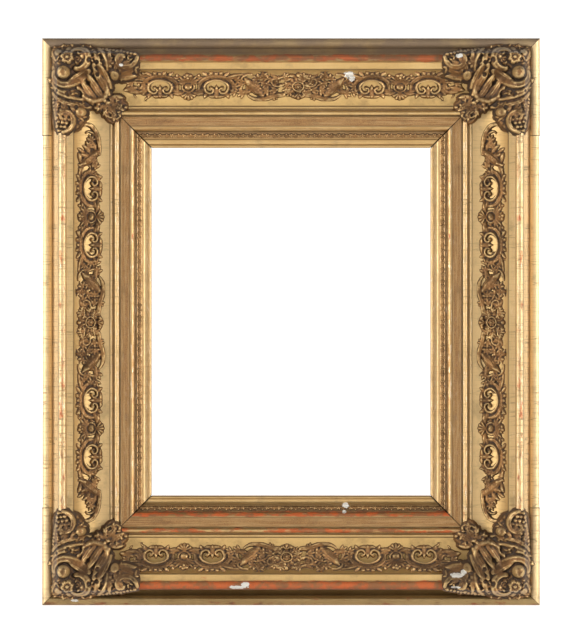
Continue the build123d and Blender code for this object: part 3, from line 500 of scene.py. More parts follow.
def first_stretch(relief):
    """Tendrils and the fluted leaf between the centre flower and the first scroll."""
    bends = ((60, 60, 16), (34, 26, -30), (18, 12, -36))
    ribbon(relief, (12.5, 15.0, 4), bends, (2.6, 2.7, 1.0), (3.0, 3.2, 2.0))
    scroll(relief, 12.5, 3.0, 34, [(12, 8, -70), (6, 4, -120), (3.2, 2.2, -110)], 1.8, 3.2)
    scroll(relief, 13.0, -8.0, 10, [(16, 12, 30), (8, 5, 100), (3.4, 2.2, 120)], 1.5, 2.8)
    sprig(relief, 19.5, 9.0, 10, 9.5)
    sprig(relief, 16.5, -2.5, -20, 8.0, count=4, spread=42)
    leaf(relief, 25, -9, 160, 10, 5.0, 2.6, ribs=3, bend=-25)
    leaf(relief, 27, 4, -30, 12, 5.0, 2.9, ribs=3, bend=22)
    sprig(relief, 30, -8, 20, 9.5, count=3)
    leaf(relief, 36, 15.5, -41, 31, 11.5, 4.6, ribs=5, bend=-14, base=0.2)
    leaf(relief, 38, 8.0, -28, 18, 8.5, 4.2, ribs=4, bend=-24)
    scroll(relief, 48, -12, -8, [(14, 9, 60), (5, 3.4, 130), (2.6, 2.0, 90)], 1.6, 3.0)
    leaf(relief, 50, 11.5, -4, 13, 6.2, 3.1, ribs=3, bend=26)
    sprig(relief, 57, 12.5, 15, 9.5, count=4, spread=36)
    sprig(relief, 66, 11.0, 30, 8.5, count=3)
    relief.bead(60, 7.8, 1.9, 3.1)
    relief.bead(53, 5.6, 1.6, 2.7)
    ribbon(relief, (58, -11.5, 6), ((60, 44, 22), (30, 20, -14)), (1.2, 2.3, 1.6), (2.0, 2.9, 2.4))
    leaf(relief, 63, 0.5, -68, 10, 4.6, 2.8, ribs=2, bend=30)
    for x, y, heading, size in (
        (9, 8, 100, 7), (9, -3, -80, 7), (11, -9, 200, 7), (24, -5, 60, 9), (31, 1, 80, 9), (30, 10, 20, 9),
        (40, -5, -60, 9), (44, 2, -130, 8), (47, 6, 40, 9), (52, -3, 70, 9), (58, 2, 0, 9), (66, -4, 200, 9),
        (69, 5, 160, 9), (36, -11, 190, 8), (22, 16, 60, 7),
    ):
        sprig(relief, x, y, heading, size, count=4, spread=44)


def short_end(relief):
    """Ribbons and the leaf tip that close a run on the top and bottom rails."""
    for x, y, heading, size in ((168, 3, 100, 9), (172, -7, -60, 8), (166, -12, -20, 8), (182, 1, 10, 9)):
        sprig(relief, x, y, heading, size, count=4, spread=42)
    for offset in (-9.5, -5.0, -0.5):
        ribbon(relief, (164, offset, 6), ((70, 40, -14), (30, 20, 26)), (1.6, 1.9, 1.0), (2.4, 3.2, 2.2), rounded)
    sprig(relief, 166, 9, 0, 10.5, count=4, spread=34)
    leaf(relief, 172, 12.5, -12, 15, 6.5, 3.0, ribs=3, bend=18)
    leaf(relief, 178, 6.5, 18, 15, 8.0, 3.2, ribs=4, bend=-10)
    relief.bead(175, 2.2, 1.9, 3.2)


def long_end(relief):
    """Large leaf and the curled stem that close a run on the side rails."""
    for x, y, heading, size in (
        (168, 3, 80, 9), (174, -5, -40, 9), (181, 8, 120, 8), (198, 3, 30, 9), (205, 6, 0, 8),
    ):
        sprig(relief, x, y, heading, size, count=4, spread=42)
    ribbon(relief, (160, -11.0, 2), ((60, 40, 10), (30, 24, 24)), (1.4, 2.2, 1.2), (2.4, 2.8, 2.0))
    sprig(relief, 166, 11.5, 160, 9.5, count=4, spread=34)
    sprig(relief, 174, 10.5, 20, 9.0, count=3)
    leaf(relief, 193, 14, -132, 31, 12.0, 4.4, ribs=5, bend=16, base=0.2)
    leaf(relief, 186, 4, -66, 15, 8.0, 3.6, ribs=4, bend=-18)
    for x, y, angle, length, bend in (
        (190, 5, -18, 15, -60), (187, -2, -20, 15, -62), (194, 11, 4, 15, -66), (180, -8, -8, 12, -30),
    ):
        leaf(relief, x, y, angle, length, 6.0, 3.2, ribs=3, bend=bend)
    bends = ((90, 70, -10), (50, 24, -28), (15, 9, -70))
    ribbon(relief, (190, 16.0, 2), bends, (1.8, 2.7, 1.7, 0.6), (2.4, 3.8, 3.0, 0.6))
    scroll(relief, 206, 12.5, -12, [(16, 10, -62), (5, 3, -70)], 1.5, 2.8)


def spread(field, step):
    """Mean of a field over its neighbourhood, with a reach of some cells."""
    for _ in range(3):
        for axis in (0, 1):
            field = (np.roll(field, step, axis) + field + np.roll(field, -step, axis)) / 3
    return field


def lumps(shape, seed, reach):
    """Smooth random field of unit spread."""
    field = spread(np.random.default_rng(seed).normal(size=shape), 1)
    if reach > 1:
        field = spread(field, reach)
    return field / field.std()


def tangle(relief, seed, count, size, lift, ceiling, edge, bare=()):
    """Small leaves and drilled holes on the low parts of a carving, but not in its bare windows."""
    rng = np.random.default_rng(seed)
    close = spread((relief.height > 0).astype(float), max(1, int(1.2 / relief.pitch)))
    for _ in range(count):
        i, j = (int(rng.integers(2, n - 2)) for n in relief.count)
        turn, bend, share = rng.uniform(0, 360), rng.uniform(-75, 75), rng.uniform(0.7, 1.3)
        x, y = relief.x[i], relief.y[j]
        covered = close[i, j] >= edge and relief.height[i, j] <= ceiling
        if not covered or any(hypot(x - u, y - v) < radius for u, v, radius in bare):
            continue
        base = max(relief.height[i, j], 0.3) * 0.6
        leaf(relief, x, y, turn, size * share, size * 0.46, lift * share, ribs=2, bend=bend, base=base)
        if share > 1:
            relief.sink(x, y, size * 0.2, lift)


def cast_look(relief, seed, bare=()):
    """Joins close forms with low ground and gives them the unevenness of a cast."""
    carved = relief.height > 0
    close = spread(carved.astype(float), max(1, int(0.9 / relief.pitch))) > 0.40
    for x, y, radius in bare:
        gx, gy = np.meshgrid(relief.x - x, relief.y - y, indexing="ij")
        close &= np.hypot(gx, gy) > radius
    coarse = lumps(relief.count, seed, max(2, int(0.9 / relief.pitch)))
    low = 0.75 + 0.35 * coarse
    relief.height = np.where(close & ~carved, np.maximum(low, 0.15), relief.height)
    uneven = 0.24 * coarse + 0.12 * lumps(relief.count, seed + 1, 1)
    relief.height = np.where(relief.height > 0, np.maximum(relief.height + uneven, 0.05), relief.height)


def foliage_run(is_side, pitch):
    """Relief of one run, from the flower to the corner."""
    relief = Relief((2.0, -16.0), (238.0 if is_side else 194.0, 22.5), pitch)
    first_stretch(relief)
    for x in SCROLL_PLACES:
        c_scroll(relief, x)
    knot(relief, KNOT_PLACE)
    if is_side:
        long_end(relief)
    else:
        short_end(relief)
    bare = [(x, 3.5, WINDOW) for x in SCROLL_PLACES]
    tangle(relief, 11, 900 if is_side else 720, 4.6, 1.5, 0.9, 0.5, bare)
    cast_look(relief, 21, bare)
    return relief


# Corner cast, in pixels of the photograph from the outer corner: along the rail, then up the side
CAST_OUTLINE = (
    (12, 9), (22, 8), (43, 6), (54, 10), (68, 12), (84, 15), (96, 19), (98, 27), (94, 38), (86, 42),
    (76, 43), (68, 46), (66, 54), (70, 58), (78, 60), (85, 66), (84, 72), (78, 76), (76, 84), (70, 86),
    (64, 80), (58, 73), (50, 68), (45, 72), (44, 80), (40, 88), (35, 93), (28, 94), (21, 95), (14, 92),
    (11, 85), (12, 75), (11, 60), (9, 48), (8.5, 40), (11, 25),
)
# Each band: place, heading, bends, half width, height in mm, base in mm, section
CAST_BANDS = (
    (13, 36, 96, ((13, 12, -112), (34, 46, -36)), 3.5, 5.0, 2.6, rimmed),
    (11, 42, 84, ((18, 16, -72), (60, 60, -16)), 2.2, 4.2, 1.8, rounded),
    (36, 33, 14, ((10.5, 10.5, -196), (8, 6, -50)), 3.2, 5.2, 3.2, rimmed),
    (13, 50, 62, ((24, 20, -50), (60, 70, -22)), 2.4, 4.4, 1.4, rounded),
    (12, 56, 60, ((26, 24, -48), (80, 90, -14)), 2.2, 4.0, 1.0, rimmed),
    (42, 58, 48, ((17, 14, -62), (12, 10, -78), (16, 16, -30)), 3.4, 5.2, 2.8, rounded),
    (97, 22, 100, ((13, 11, 92), (9, 6.5, 84), (5, 3, 150)), 2.6, 4.6, 1.8, rimmed),
    (24, 96, -12, ((13, 11, -92), (9, 6.5, -84), (5, 3, -150)), 2.6, 4.6, 1.8, rimmed),
    (58, 12, 40, ((30, 26, 30), (20, 16, 34)), 2.2, 4.0, 1.6, rounded),
    (64, 64, 40, ((30, 26, 26), (20, 18, 20)), 1.1, 2.4, 0.6, rounded),
)
# Each leaf: place, heading, length, width, height in mm, ribs, bend, base in mm
CAST_LEAVES = (
    (57, 66, -131, 34, 8.5, 4.6, 3, 12, 2.8), (63, 63, -127, 35, 8.5, 4.8, 3, 8, 3.4),
    (67, 57, -121, 30, 8.0, 4.6, 3, 4, 3.0), (69, 50, -112, 24, 7.0, 4.2, 3, -4, 2.4),
    (51, 66, -138, 26, 7.0, 4.2, 3, 18, 2.0), (62, 46, -102, 30, 5.6, 4.0, 2, 10, 1.6),
    (70, 36, -98, 24, 6.4, 3.8, 3, 14, 1.4), (62, 34, -110, 24, 5.2, 3.6, 2, -10, 1.2),
    (74, 38, -70, 22, 7.6, 4.0, 3, 16, 1.6), (75, 39, -48, 24, 8.0, 4.0, 3, 12, 1.4),
    (76, 40, -26, 24, 8.0, 3.8, 3, 8, 1.2), (76, 41, -6, 20, 6.6, 3.4, 3, 4, 1.0),
    (30, 66, 62, 22, 7.0, 3.8, 3, -14, 1.2), (24, 64, 84, 24, 7.2, 3.8, 3, -10, 1.2),
    (17, 62, 96, 26, 6.6, 3.6, 3, -8, 1.0), (36, 66, 40, 14, 6.0, 3.4, 3, 30, 1.4),
    (65, 65, 98, 15, 7.0, 3.0, 3, -12, 0.8), (67, 66, 60, 17, 7.6, 3.2, 3, 10, 0.8),
    (67, 64, 24, 18, 8.0, 3.2, 3, 14, 0.8), (64, 66, 150, 13, 6.4, 2.8, 3, 20, 0.6),
    (68, 60, -12, 14, 6.0, 2.8, 3, 24, 0.6),
    (12, 12, 20, 14, 5.0, 3.2, 2, 20, 0.8), (11, 14, 75, 14, 5.0, 3.2, 2, -20, 0.8),
    (36, 10, 160, 14, 5.4, 3.4, 3, -24, 1.0), (52, 14, 60, 16, 6.0, 3.6, 3, 12, 1.2),
    (12, 30, 70, 12, 5.0, 3.4, 3, -24, 1.0), (30, 46, -40, 22, 7.0, 4.6, 3, 10, 3.4),
)
CAST_BEADS = (
    (18, 16.5, 4.2, 5.0, 1.6), (28.5, 12.5, 3.3, 4.4, 1.6), (9.4, 43, 2.8, 4.2, 0.8), (24, 37, 6.6, 7.6, 3.0),
    (22, 35, 3.0, 3.4, 7.2), (74, 39, 4.4, 5.0, 3.0), (40, 75, 5.2, 5.6, 2.6), (66, 65, 3.0, 4.0, 1.4),
    (84, 69, 1.6, 2.6, 0.8), (72, 82, 1.6, 2.6, 0.8), (44, 20, 4.2, 4.4, 1.8), (54, 30, 2.4, 3.6, 2.4),
)
# Each undercut: place, radius, depth in mm
CAST_HOLLOWS = (
    (29, 57.5, 3.6, 5.0), (37.5, 57, 4.4, 6.5), (50, 25, 3.6, 6.0), (47, 46, 2.6, 4.5), (56.5, 38, 2.6, 5.0),
    (57, 27, 2.4, 5.0), (17, 27, 2.2, 4.0), (35, 22, 2.0, 4.5), (69.5, 34, 2.2, 4.5), (45.5, 68, 2.6, 4.0),
    (77, 35, 1.8, 3.5), (36, 71, 2.2, 4.0), (24, 27.5, 1.6, 3.0), (60, 20, 1.8, 3.6), (17, 55, 1.8, 3.0),
)


def corner_cast(pitch):
    """Relief of a corner ornament, with the frame's outer corner at its low corner."""
    relief = Relief((5.0, 5.0), (112.5, 112.5), pitch)
    relief.fill([(u * SCALE, v * SCALE) for u, v in CAST_OUTLINE], 0.6)
    for u, v, heading, bends, width, height, base, section in CAST_BANDS:
        bends = [(first * SCALE, last * SCALE, turn) for first, last, turn in bends]
        points = trail(u * SCALE, v * SCALE, heading, *bends)
        widths = taper(len(points), width * 0.7, width, width * 0.55, 0.45) * SCALE
        heights = taper(len(points), height * 0.7, height, height * 0.7)
        relief.stroke(points, widths, heights, section, base)
    for u, v, heading, length, width, height, ribs, bend, base in CAST_LEAVES:
        leaf(relief, u * SCALE, v * SCALE, heading, length * SCALE, width * SCALE, height, ribs, bend, base)
    for u, v, radius, height, base in CAST_BEADS:
        relief.bead(u * SCALE, v * SCALE, radius * SCALE, height, base)
    # A bunch of berries on the upright arm, and a row of pearls along both outer edges
    for row in range(5):
        for column in range(4):
            u = 17.5 + column * 4.1 + (row % 2) * 1.7
            v = 74.0 + row * 4.0 + column * 0.5
            relief.bead(u * SCALE, v * SCALE, (1.75 + 0.35 * ((row + 2 * column) % 3)) * SCALE, 4.2, 1.0)
    for step in range(10):
        u, v = (62 + step * 3.6) * SCALE, (12.5 + 6.5 * (step / 9) ** 1.4) * SCALE
        for x, y in ((u, v), (v, u)):
            relief.bead(x, y, (1.5 + 0.25 * (step % 2)) * SCALE, 3.2, 1.2)
    rosette(relief, 28 * SCALE, 22 * SCALE, 6.8 * SCALE, 6, 6.4, base=3.2, turn=12)
    for u, v, radius, depth in CAST_HOLLOWS:
        relief.sink(u * SCALE, v * SCALE, radius * SCALE, depth)
    tangle(relief, 31, 1100, 5.0, 1.8, 4.6, 0.86)
    cast_look(relief, 41)
    relief.skirt(CAST_SKIRT)
    return relief


def slip_strip(length, pitch):
    """Relief of the small running leaves on one length of the slip."""
    across = hypot(*SLIP_DROP) - SLIP_MARGIN
    reach = length / 2 - SLIP_REACH
    relief = Relief((-reach, SLIP_MARGIN), (reach, across), pitch)
    relief.patina = SLIP_PATINA
    middle = (SLIP_MARGIN + across) / 2
    count = int(reach / VINE_UNIT) + 1
    for number in range(-count, count + 1):
        x = number * VINE_UNIT
        rosette(relief, x, middle, 2.6, 5, 1.5, base=0.3, turn=20 * number)
        for hand in (-1, 1) if number == 0 else (int(np.sign(number)),):
            relief.bead(x + hand * 8.4, middle, 1.2, 1.5)
            for side in (-1, 1):
                turn = side * hand
                heading = 90 - hand * 90 + turn * 22
                for far, out, angle, long, wide, high, bend in VINE_LEAVES:
                    place = (x + hand * far, middle + side * out)
                    leaf(relief, *place, heading + angle * turn, long, wide, high, ribs=2, bend=bend * turn)
                relief.bead(x + hand * 5.4, middle + side * 2.1, 0.85, 1.1)
    p = SLIP_START + relief.y * cos(SLIP_SLOPE)
    room = length / 2 - p - SLIP_TRIM
    relief.height[np.abs(relief.x)[:, None] > room[None, :]] = GROUND
    return relief


# Carved meshes, wrapped on the frame
def soften(height):
    """Takes the steps of the grid off steep carved edges."""
    for axis in (0, 1):
        height = (np.roll(height, 1, axis) + 2 * height + np.roll(height, -1, axis)) / 4
    return height


def cavity(height, pitch, reach, depth):
    """How far each point stands above its neighbourhood: below zero in hollows."""
    flat = np.maximum(height, 0)
    low = spread(flat, max(1, int(round(reach / pitch / 3))))
    return np.clip((flat - low) / depth, -1, 1)


def kept_cells(height):
    """Grid cells that carry the relief, with no two that touch at a corner alone."""
    raised = height > height.min() + 0.05
    cells = raised[:-1, :-1] | raised[1:, :-1] | raised[:-1, 1:] | raised[1:, 1:]
    for _ in range(6):
        rising = cells[:-1, :-1] & cells[1:, 1:] & ~cells[1:, :-1] & ~cells[:-1, 1:]
        falling = cells[1:, :-1] & cells[:-1, 1:] & ~cells[:-1, :-1] & ~cells[1:, 1:]
        cells[1:, :-1] |= rising
        cells[:-1, :-1] |= falling
    return cells


# The four sides of a grid cell: the step to its neighbour there, and the corners of the edge between them
WALL_SIDES = (
    ((0, -1), (0, 0), (1, 0)), ((1, 0), (1, 0), (1, 1)), ((0, 1), (1, 1), (0, 1)), ((-1, 0), (0, 1), (0, 0)),
)


def flat_under(x, y):
    return np.full(x.shape, UNDERSIDE)


def carve(name, relief, wrap, under=flat_under):
    """Closed mesh of a relief: its carved face, an underside and the walls between."""
    height = soften(relief.height)
    cells = kept_cells(height)
    corner = np.zeros(relief.count, bool)
    for i in (0, 1):
        for j in (0, 1):
            corner[i : corner.shape[0] - 1 + i, j : corner.shape[1] - 1 + j] |= cells
    index = np.full(relief.count, -1)
    index[corner] = np.arange(corner.sum())
    gx, gy = np.meshgrid(relief.x, relief.y, indexing="ij")
    face = wrap(gx[corner], gy[corner], height[corner])
    back = wrap(gx[corner], gy[corner], under(gx[corner], gy[corner]))
    total = len(face)

    quads = [index[:-1, :-1][cells], index[1:, :-1][cells], index[1:, 1:][cells], index[:-1, 1:][cells]]
    quads = np.stack(quads, 1)
    padded = np.pad(cells, 1)
    walls = []
    for (i, j), first, second in WALL_SIDES:
        outside = ~padded[1 + i : 1 + i + cells.shape[0], 1 + j : 1 + j + cells.shape[1]]
        a, b = np.nonzero(cells & outside)
        start = index[a + first[0], b + first[1]]
        end = index[a + second[0], b + second[1]]
        walls.append(np.stack([start + total, end + total, end, start], 1))
    faces = np.concatenate([quads, quads[:, ::-1] + total] + walls)

    # A wrap that mirrors the relief would turn the faces inwards
    step_x, step_y, step_up = np.eye(4)[1:]
    sample = wrap(relief.x[5] + step_x, relief.y[5] + step_y, step_up)
    if np.linalg.det(sample[1:] - sample[0]) < 0:
        faces = faces[:, ::-1]

    mesh = bpy.data.meshes.new(name)
    mesh.vertices.add(2 * total)
    mesh.vertices.foreach_set("co", np.concatenate([face, back]).astype(np.float32).ravel())
    mesh.loops.add(faces.size)
    mesh.loops.foreach_set("vertex_index", faces.astype(np.int32).ravel())
    mesh.polygons.add(len(faces))
    mesh.polygons.foreach_set("loop_start", np.arange(0, faces.size, 4, dtype=np.int32))
    mesh.polygons.foreach_set("use_smooth", np.ones(len(faces), bool))
    mesh.update(calc_edges=True)
    hollows = np.concatenate([cavity(height, relief.pitch, *relief.patina)[corner], np.zeros(total)])
    mesh.attributes.new("cavity", "FLOAT", "POINT").data.foreach_set("value", hollows.astype(np.float32))
    piece = bpy.data.objects.new(name, mesh)
    bpy.context.scene.collection.objects.link(piece)
    return piece


def rail_point(side, s, p, q):
    """Points in metres from places along a rail, across it and above the back plane, in mm."""
    across, along = p * MM, s * MM
    y = BACK_Y - q * MM
    if side == "bottom":
        return np.stack([along, y, across], 1)
    if side == "top":
        return np.stack([along, y, HEIGHT - across], 1)
    if side == "left":
        return np.stack([across - WIDTH / 2, y, along + HEIGHT / 2], 1)
    return np.stack([WIDTH / 2 - across, y, along + HEIGHT / 2], 1)


def on_hollow(side, hand, shift):
    """Wraps a relief on the hollow of a rail, running to one hand from a shifted middle."""

    def wrap(x, y, h):
        turn = BAND_SLOPE - y / HOLLOW_RADIUS
        reach = HOLLOW_RADIUS - h
        p = HOLLOW_CENTRE[0] - reach * np.sin(turn)
        q = HOLLOW_CENTRE[1] - reach * np.cos(turn)
        return rail_point(side, hand * x + shift, p, q)

    return wrap


def on_slip(side):
    """Wraps a relief on the sloping band of the slip."""

    def wrap(x, y, h):
        p = SLIP_START + y * cos(SLIP_SLOPE) + h * sin(SLIP_SLOPE)
        q = SLIP_TOP - y * sin(SLIP_SLOPE) + h * cos(SLIP_SLOPE)
        return rail_point(side, x, p, q)

    return wrap


def round_mitre(x, y):
    """Distance across the rail from a place near a corner, rounded over the mitre."""
    return -np.log(np.exp(-x * MITRE_SOFTNESS) + np.exp(-y * MITRE_SOFTNESS)) / MITRE_SOFTNESS


def cast_under(x, y):
    """Underside of a corner cast: just inside the mouldings that carry it."""
    p = round_mitre(x, y)
    return np.minimum(CAST_SKIRT - 0.6, np.interp(p, *CAST_BED) - np.interp(p, *CAST_SEAT))


def on_corner(side_x, side_z):
    """Seats a corner relief over the mouldings, as their height runs round the mitre."""

    def wrap(x, y, h):
        p = round_mitre(x, y)
        q = np.interp(p, *CAST_SEAT) + h
        q = np.minimum(q, CAST_REACH / MM - 0.2) * MM
        away_x = side_x * (WIDTH / 2 - x * MM)
        away_z = HEIGHT / 2 + side_z * (HEIGHT / 2 - y * MM)
        return np.stack([away_x, BACK_Y - q, away_z], 1)

    return wrap


def settle(piece, material, node):
    """Gives a carved piece its finish and its place in the part."""
    piece.data.materials.append(material)
    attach(piece, "frame")
    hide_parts(node)


# Shader building
class Field:
    """Value that a shader works out over the surface; arithmetic on it adds Math nodes."""

    def __init__(self, socket):
        self.socket = socket

    def __add__(self, other):
        return calc("ADD", self, other)

    def __sub__(self, other):
        return calc("SUBTRACT", self, other)

    def __rsub__(self, other):
        return calc("SUBTRACT", other, self)

    def __mul__(self, other):
        return calc("MULTIPLY", self, other)

    def __truediv__(self, other):
        return calc("DIVIDE", self, other)

    def __rtruediv__(self, other):
        return calc("DIVIDE", other, self)

    def __abs__(self):
        return calc("ABSOLUTE", self)


def fill(socket, value):
    """Links a field to a socket, or sets a plain value on it."""
    if isinstance(value, Field):
        socket.id_data.links.new(value.socket, socket)
    else:
        socket.default_value = value


def add(tree, kind, inputs=None, **settings):
    """Adds a node, sets its settings and fills its inputs with values or fields."""
    made = tree.nodes.new("ShaderNode" + kind)
    for key, value in settings.items():
        setattr(made, key, value)
    for key, value in (inputs or {}).items():
        fill(made.inputs[key], value)
    return made


def source(tree, kind, output, inputs=None, **settings):
    """Field from one output of a new node."""
    return Field(add(tree, kind, inputs, **settings).outputs[output])


def work(kind, inputs, output=0, **settings):
    """Field from a new node in the tree of the fields that go into it."""
    tree = next(value.socket.id_data for value in inputs.values() if isinstance(value, Field))
    return source(tree, kind, output, inputs, **settings)


def calc(operation, *values):
    return work("Math", dict(enumerate(values)), operation=operation)


def most(*values):
    """Largest of some fields at each point."""
    return reduce(lambda first, second: calc("MAXIMUM", first, second), values)


def blend(amount, first, second):
    """Colour between first and second; plain colours get their alpha here."""
    colours = [value if isinstance(value, Field) else (*value, 1) for value in (first, second)]
    return work("Mix", {0: amount, 6: colours[0], 7: colours[1]}, 2, data_type="RGBA", clamp_factor=True)


def rise(value, low, high, start=0.0, end=1.0):
    """Smooth step from start to end as value goes from low to high."""
    inputs = {"Value": value, "From Min": low, "From Max": high, "To Min": start, "To Max": end}
    return work("MapRange", inputs, interpolation_type="SMOOTHSTEP")


def within(value, low, high, soft=0.4):
    """Mask that is one where value lies between low and high."""
    return rise(value, low - soft, low + soft) * rise(value, high - soft, high + soft, 1, 0)


def split(vector):
    """The three numbers of a vector field."""
    return [Field(socket) for socket in add(vector.socket.id_data, "SeparateXYZ", {0: vector}).outputs]


def drawn(vector, factors):
    """Place of a pattern, drawn out or pressed together by a factor for each axis."""
    return work("VectorMath", {0: vector, 1: factors}, operation="MULTIPLY")


def noise(vector, scale, detail=3.0, rough=0.55, output=0):
    inputs = {"Vector": vector, "Scale": scale, "Detail": detail, "Roughness": rough}
    return work("TexNoise", inputs, output)


def profile(value, stops):
    """Number that follows straight lines between (place, number) stops, with places in mm across the rail."""
    share = value / PROFILE_SPAN
    made = add(share.socket.id_data, "ValToRGB", {"Fac": share})
    elements = made.color_ramp.elements
    while len(elements) < len(stops):
        elements.new(0.5)
    for element, (place, number) in zip(elements, stops):
        element.position = place / PROFILE_SPAN
        element.color = (number, number, number, 1)
    return Field(made.outputs[0])


def fields(sockets):
    return {socket.name: Field(socket) for socket in sockets}


def new_group(name, inputs, outputs):
    """Empty shader node group with its sockets: its tree, input fields and output sockets."""
    tree = bpy.data.node_groups.new(name, "ShaderNodeTree")
    for key, kind, value in inputs:
        socket = tree.interface.new_socket(key, in_out="INPUT", socket_type="NodeSocket" + kind)
        socket.default_value = value
    for key, kind in outputs:
        tree.interface.new_socket(key, in_out="OUTPUT", socket_type="NodeSocket" + kind)
    return tree, fields(tree.nodes.new("NodeGroupInput").outputs), tree.nodes.new("NodeGroupOutput").inputs


def put(tree, group, **inputs):
    """Places a node group in a material and gives its outputs as fields."""
    made = tree.nodes.new("ShaderNodeGroup")
    made.node_tree = bpy.data.node_groups[group]
    for key, value in inputs.items():
        fill(made.inputs[key.title()], value)
    return fields(made.outputs)


def make_place_group():
    """Where a point lies on the frame: mm across the rail, along it, off the mitre, and on which rail."""
    numbers = ("Across", "Along", "Mitre", "Upright", "Lower", "Depth")
    outputs = [(key, "Float") for key in numbers] + [("Flow", "Vector"), ("Spot", "Vector")]
    tree, _, leave = new_group("Place on the frame", [], outputs)
    spot = source(tree, "TexCoord", "Object")
    x, y, z = split(spot)
    level = z - HEIGHT / 2
    from_side = WIDTH / 2 - abs(x)
    from_end = HEIGHT / 2 - abs(level)
    across = calc("MINIMUM", from_side, from_end) / MM
    upright = calc("LESS_THAN", from_side, from_end)
    along = (upright * level + (1 - upright) * x) / MM
    mitre = abs(from_side - from_end) / (MM * sqrt(2))
    depth = (BACK_Y - y) / MM
    flow = work("CombineXYZ", {0: along + upright * UPRIGHT_SHIFT, 1: across, 2: depth})
    spot_mm = work("VectorMath", {0: spot, "Scale": 1 / MM}, operation="SCALE")
    values = (across, along, mitre, upright, calc("LESS_THAN", level, 0.0), depth, flow, spot_mm)
    for socket, value in zip(leave, values):
        fill(socket, value)


def make_crack_group():
    """Fine age cracks, mostly across the rail."""
    inputs = [("Flow", "Vector", (0, 0, 0)), ("Spacing", "Float", 5.0), ("Width", "Float", 0.05)]
    _, enter, leave = new_group("Age cracks", inputs, [("Mask", "Float")])
    shape = drawn(enter["Flow"], (1.0, 0.07, 0.07))
    wave = noise(shape, 0.35, 2.0, 0.5, output=1)
    bent = work("VectorMath", {0: wave, "Scale": 1.6}, operation="SCALE")
    shape = work("VectorMath", {0: shape, 1: bent}, operation="ADD")
    cells = work("TexVoronoi", {"Vector": shape, "Scale": 1 / enter["Spacing"]}, feature="DISTANCE_TO_EDGE")
    patchy = rise(noise(enter["Flow"], 0.03), 0.35, 0.55)
    fill(leave["Mask"], rise(cells, 0.0, enter["Width"], 1.0, 0.0) * patchy)


def make_wear_group():
    """Ragged mask of rubbed places: none at amount 0, all at amount 1."""
    inputs = [("Flow", "Vector", (0, 0, 0)), ("Amount", "Float", 0.5), ("Scale", "Float", 0.1)]
    _, enter, leave = new_group("Rubbed places", inputs, [("Mask", "Float")])
    level = noise(drawn(enter["Flow"], (0.35, 1.0, 1.0)), enter["Scale"], 6.0, 0.68)
    fill(leave["Mask"], rise(level + (enter["Amount"] - 0.92), 0.0, 0.16))


def make_loss_group():
    """White gesso where chips of the surface are lost."""
    _, enter, leave = new_group("Lost chips", [("Spot", "Vector", (0, 0, 0))], [("Mask", "Float")])
    x, _, z = split(enter["Spot"])
    ragged = noise(enter["Spot"], 0.32, 4.0) * 1.5 - 0.75
    chips = []
    for column, row, wide, tall in CHIPS:
        off_x = (x - (column - PHOTO_CENTRE[0]) * SCALE) / (wide * SCALE)
        off_z = (z - (HEIGHT / 2 / MM + (PHOTO_CENTRE[1] - row) * SCALE)) / (tall * SCALE)
        off = calc("SQRT", off_x * off_x + off_z * off_z) + ragged
        chips.append(rise(off, 0.85, 1.0, 1.0, 0.0))
    fill(leave["Mask"], most(*chips))


def make_dust_group():
    """Grey dust that settles on what faces up, more of it in patches."""
    inputs = [("Spot", "Vector", (0, 0, 0)), ("Amount", "Float", 0.5)]
    tree, enter, leave = new_group("Settled dust", inputs, [("Mask", "Float")])
    upward = split(source(tree, "NewGeometry", "Normal"))[2]
    level = rise(upward, -0.1, 0.9) + noise(enter["Spot"], 0.05, 4.0) * 0.8
    fill(leave["Mask"], rise(level, 0.5, 1.3) * enter["Amount"])


GROUPS = (make_place_group, make_crack_group, make_wear_group, make_loss_group, make_dust_group)


def start_material(name):
    """Material with its one Principled BSDF, and where its points lie on the frame."""
    material = bpy.data.materials.new(name)
    material.use_nodes = True
    return material, put(material.node_tree, "Place on the frame")


def finish_material(material, colour, metallic, roughness, height, depth):
    """Joins the worked values to the shader, with a bump of some depth in metres."""
    tree = material.node_tree
    normal = source(tree, "Bump", 0, {"Height": height, "Distance": depth, "Strength": 0.9})
    values = {"Base Color": colour, "Metallic": metallic, "Roughness": roughness, "Normal": normal}
    for key, value in values.items():
        fill(tree.nodes["Principled BSDF"].inputs[key], value)
    return material


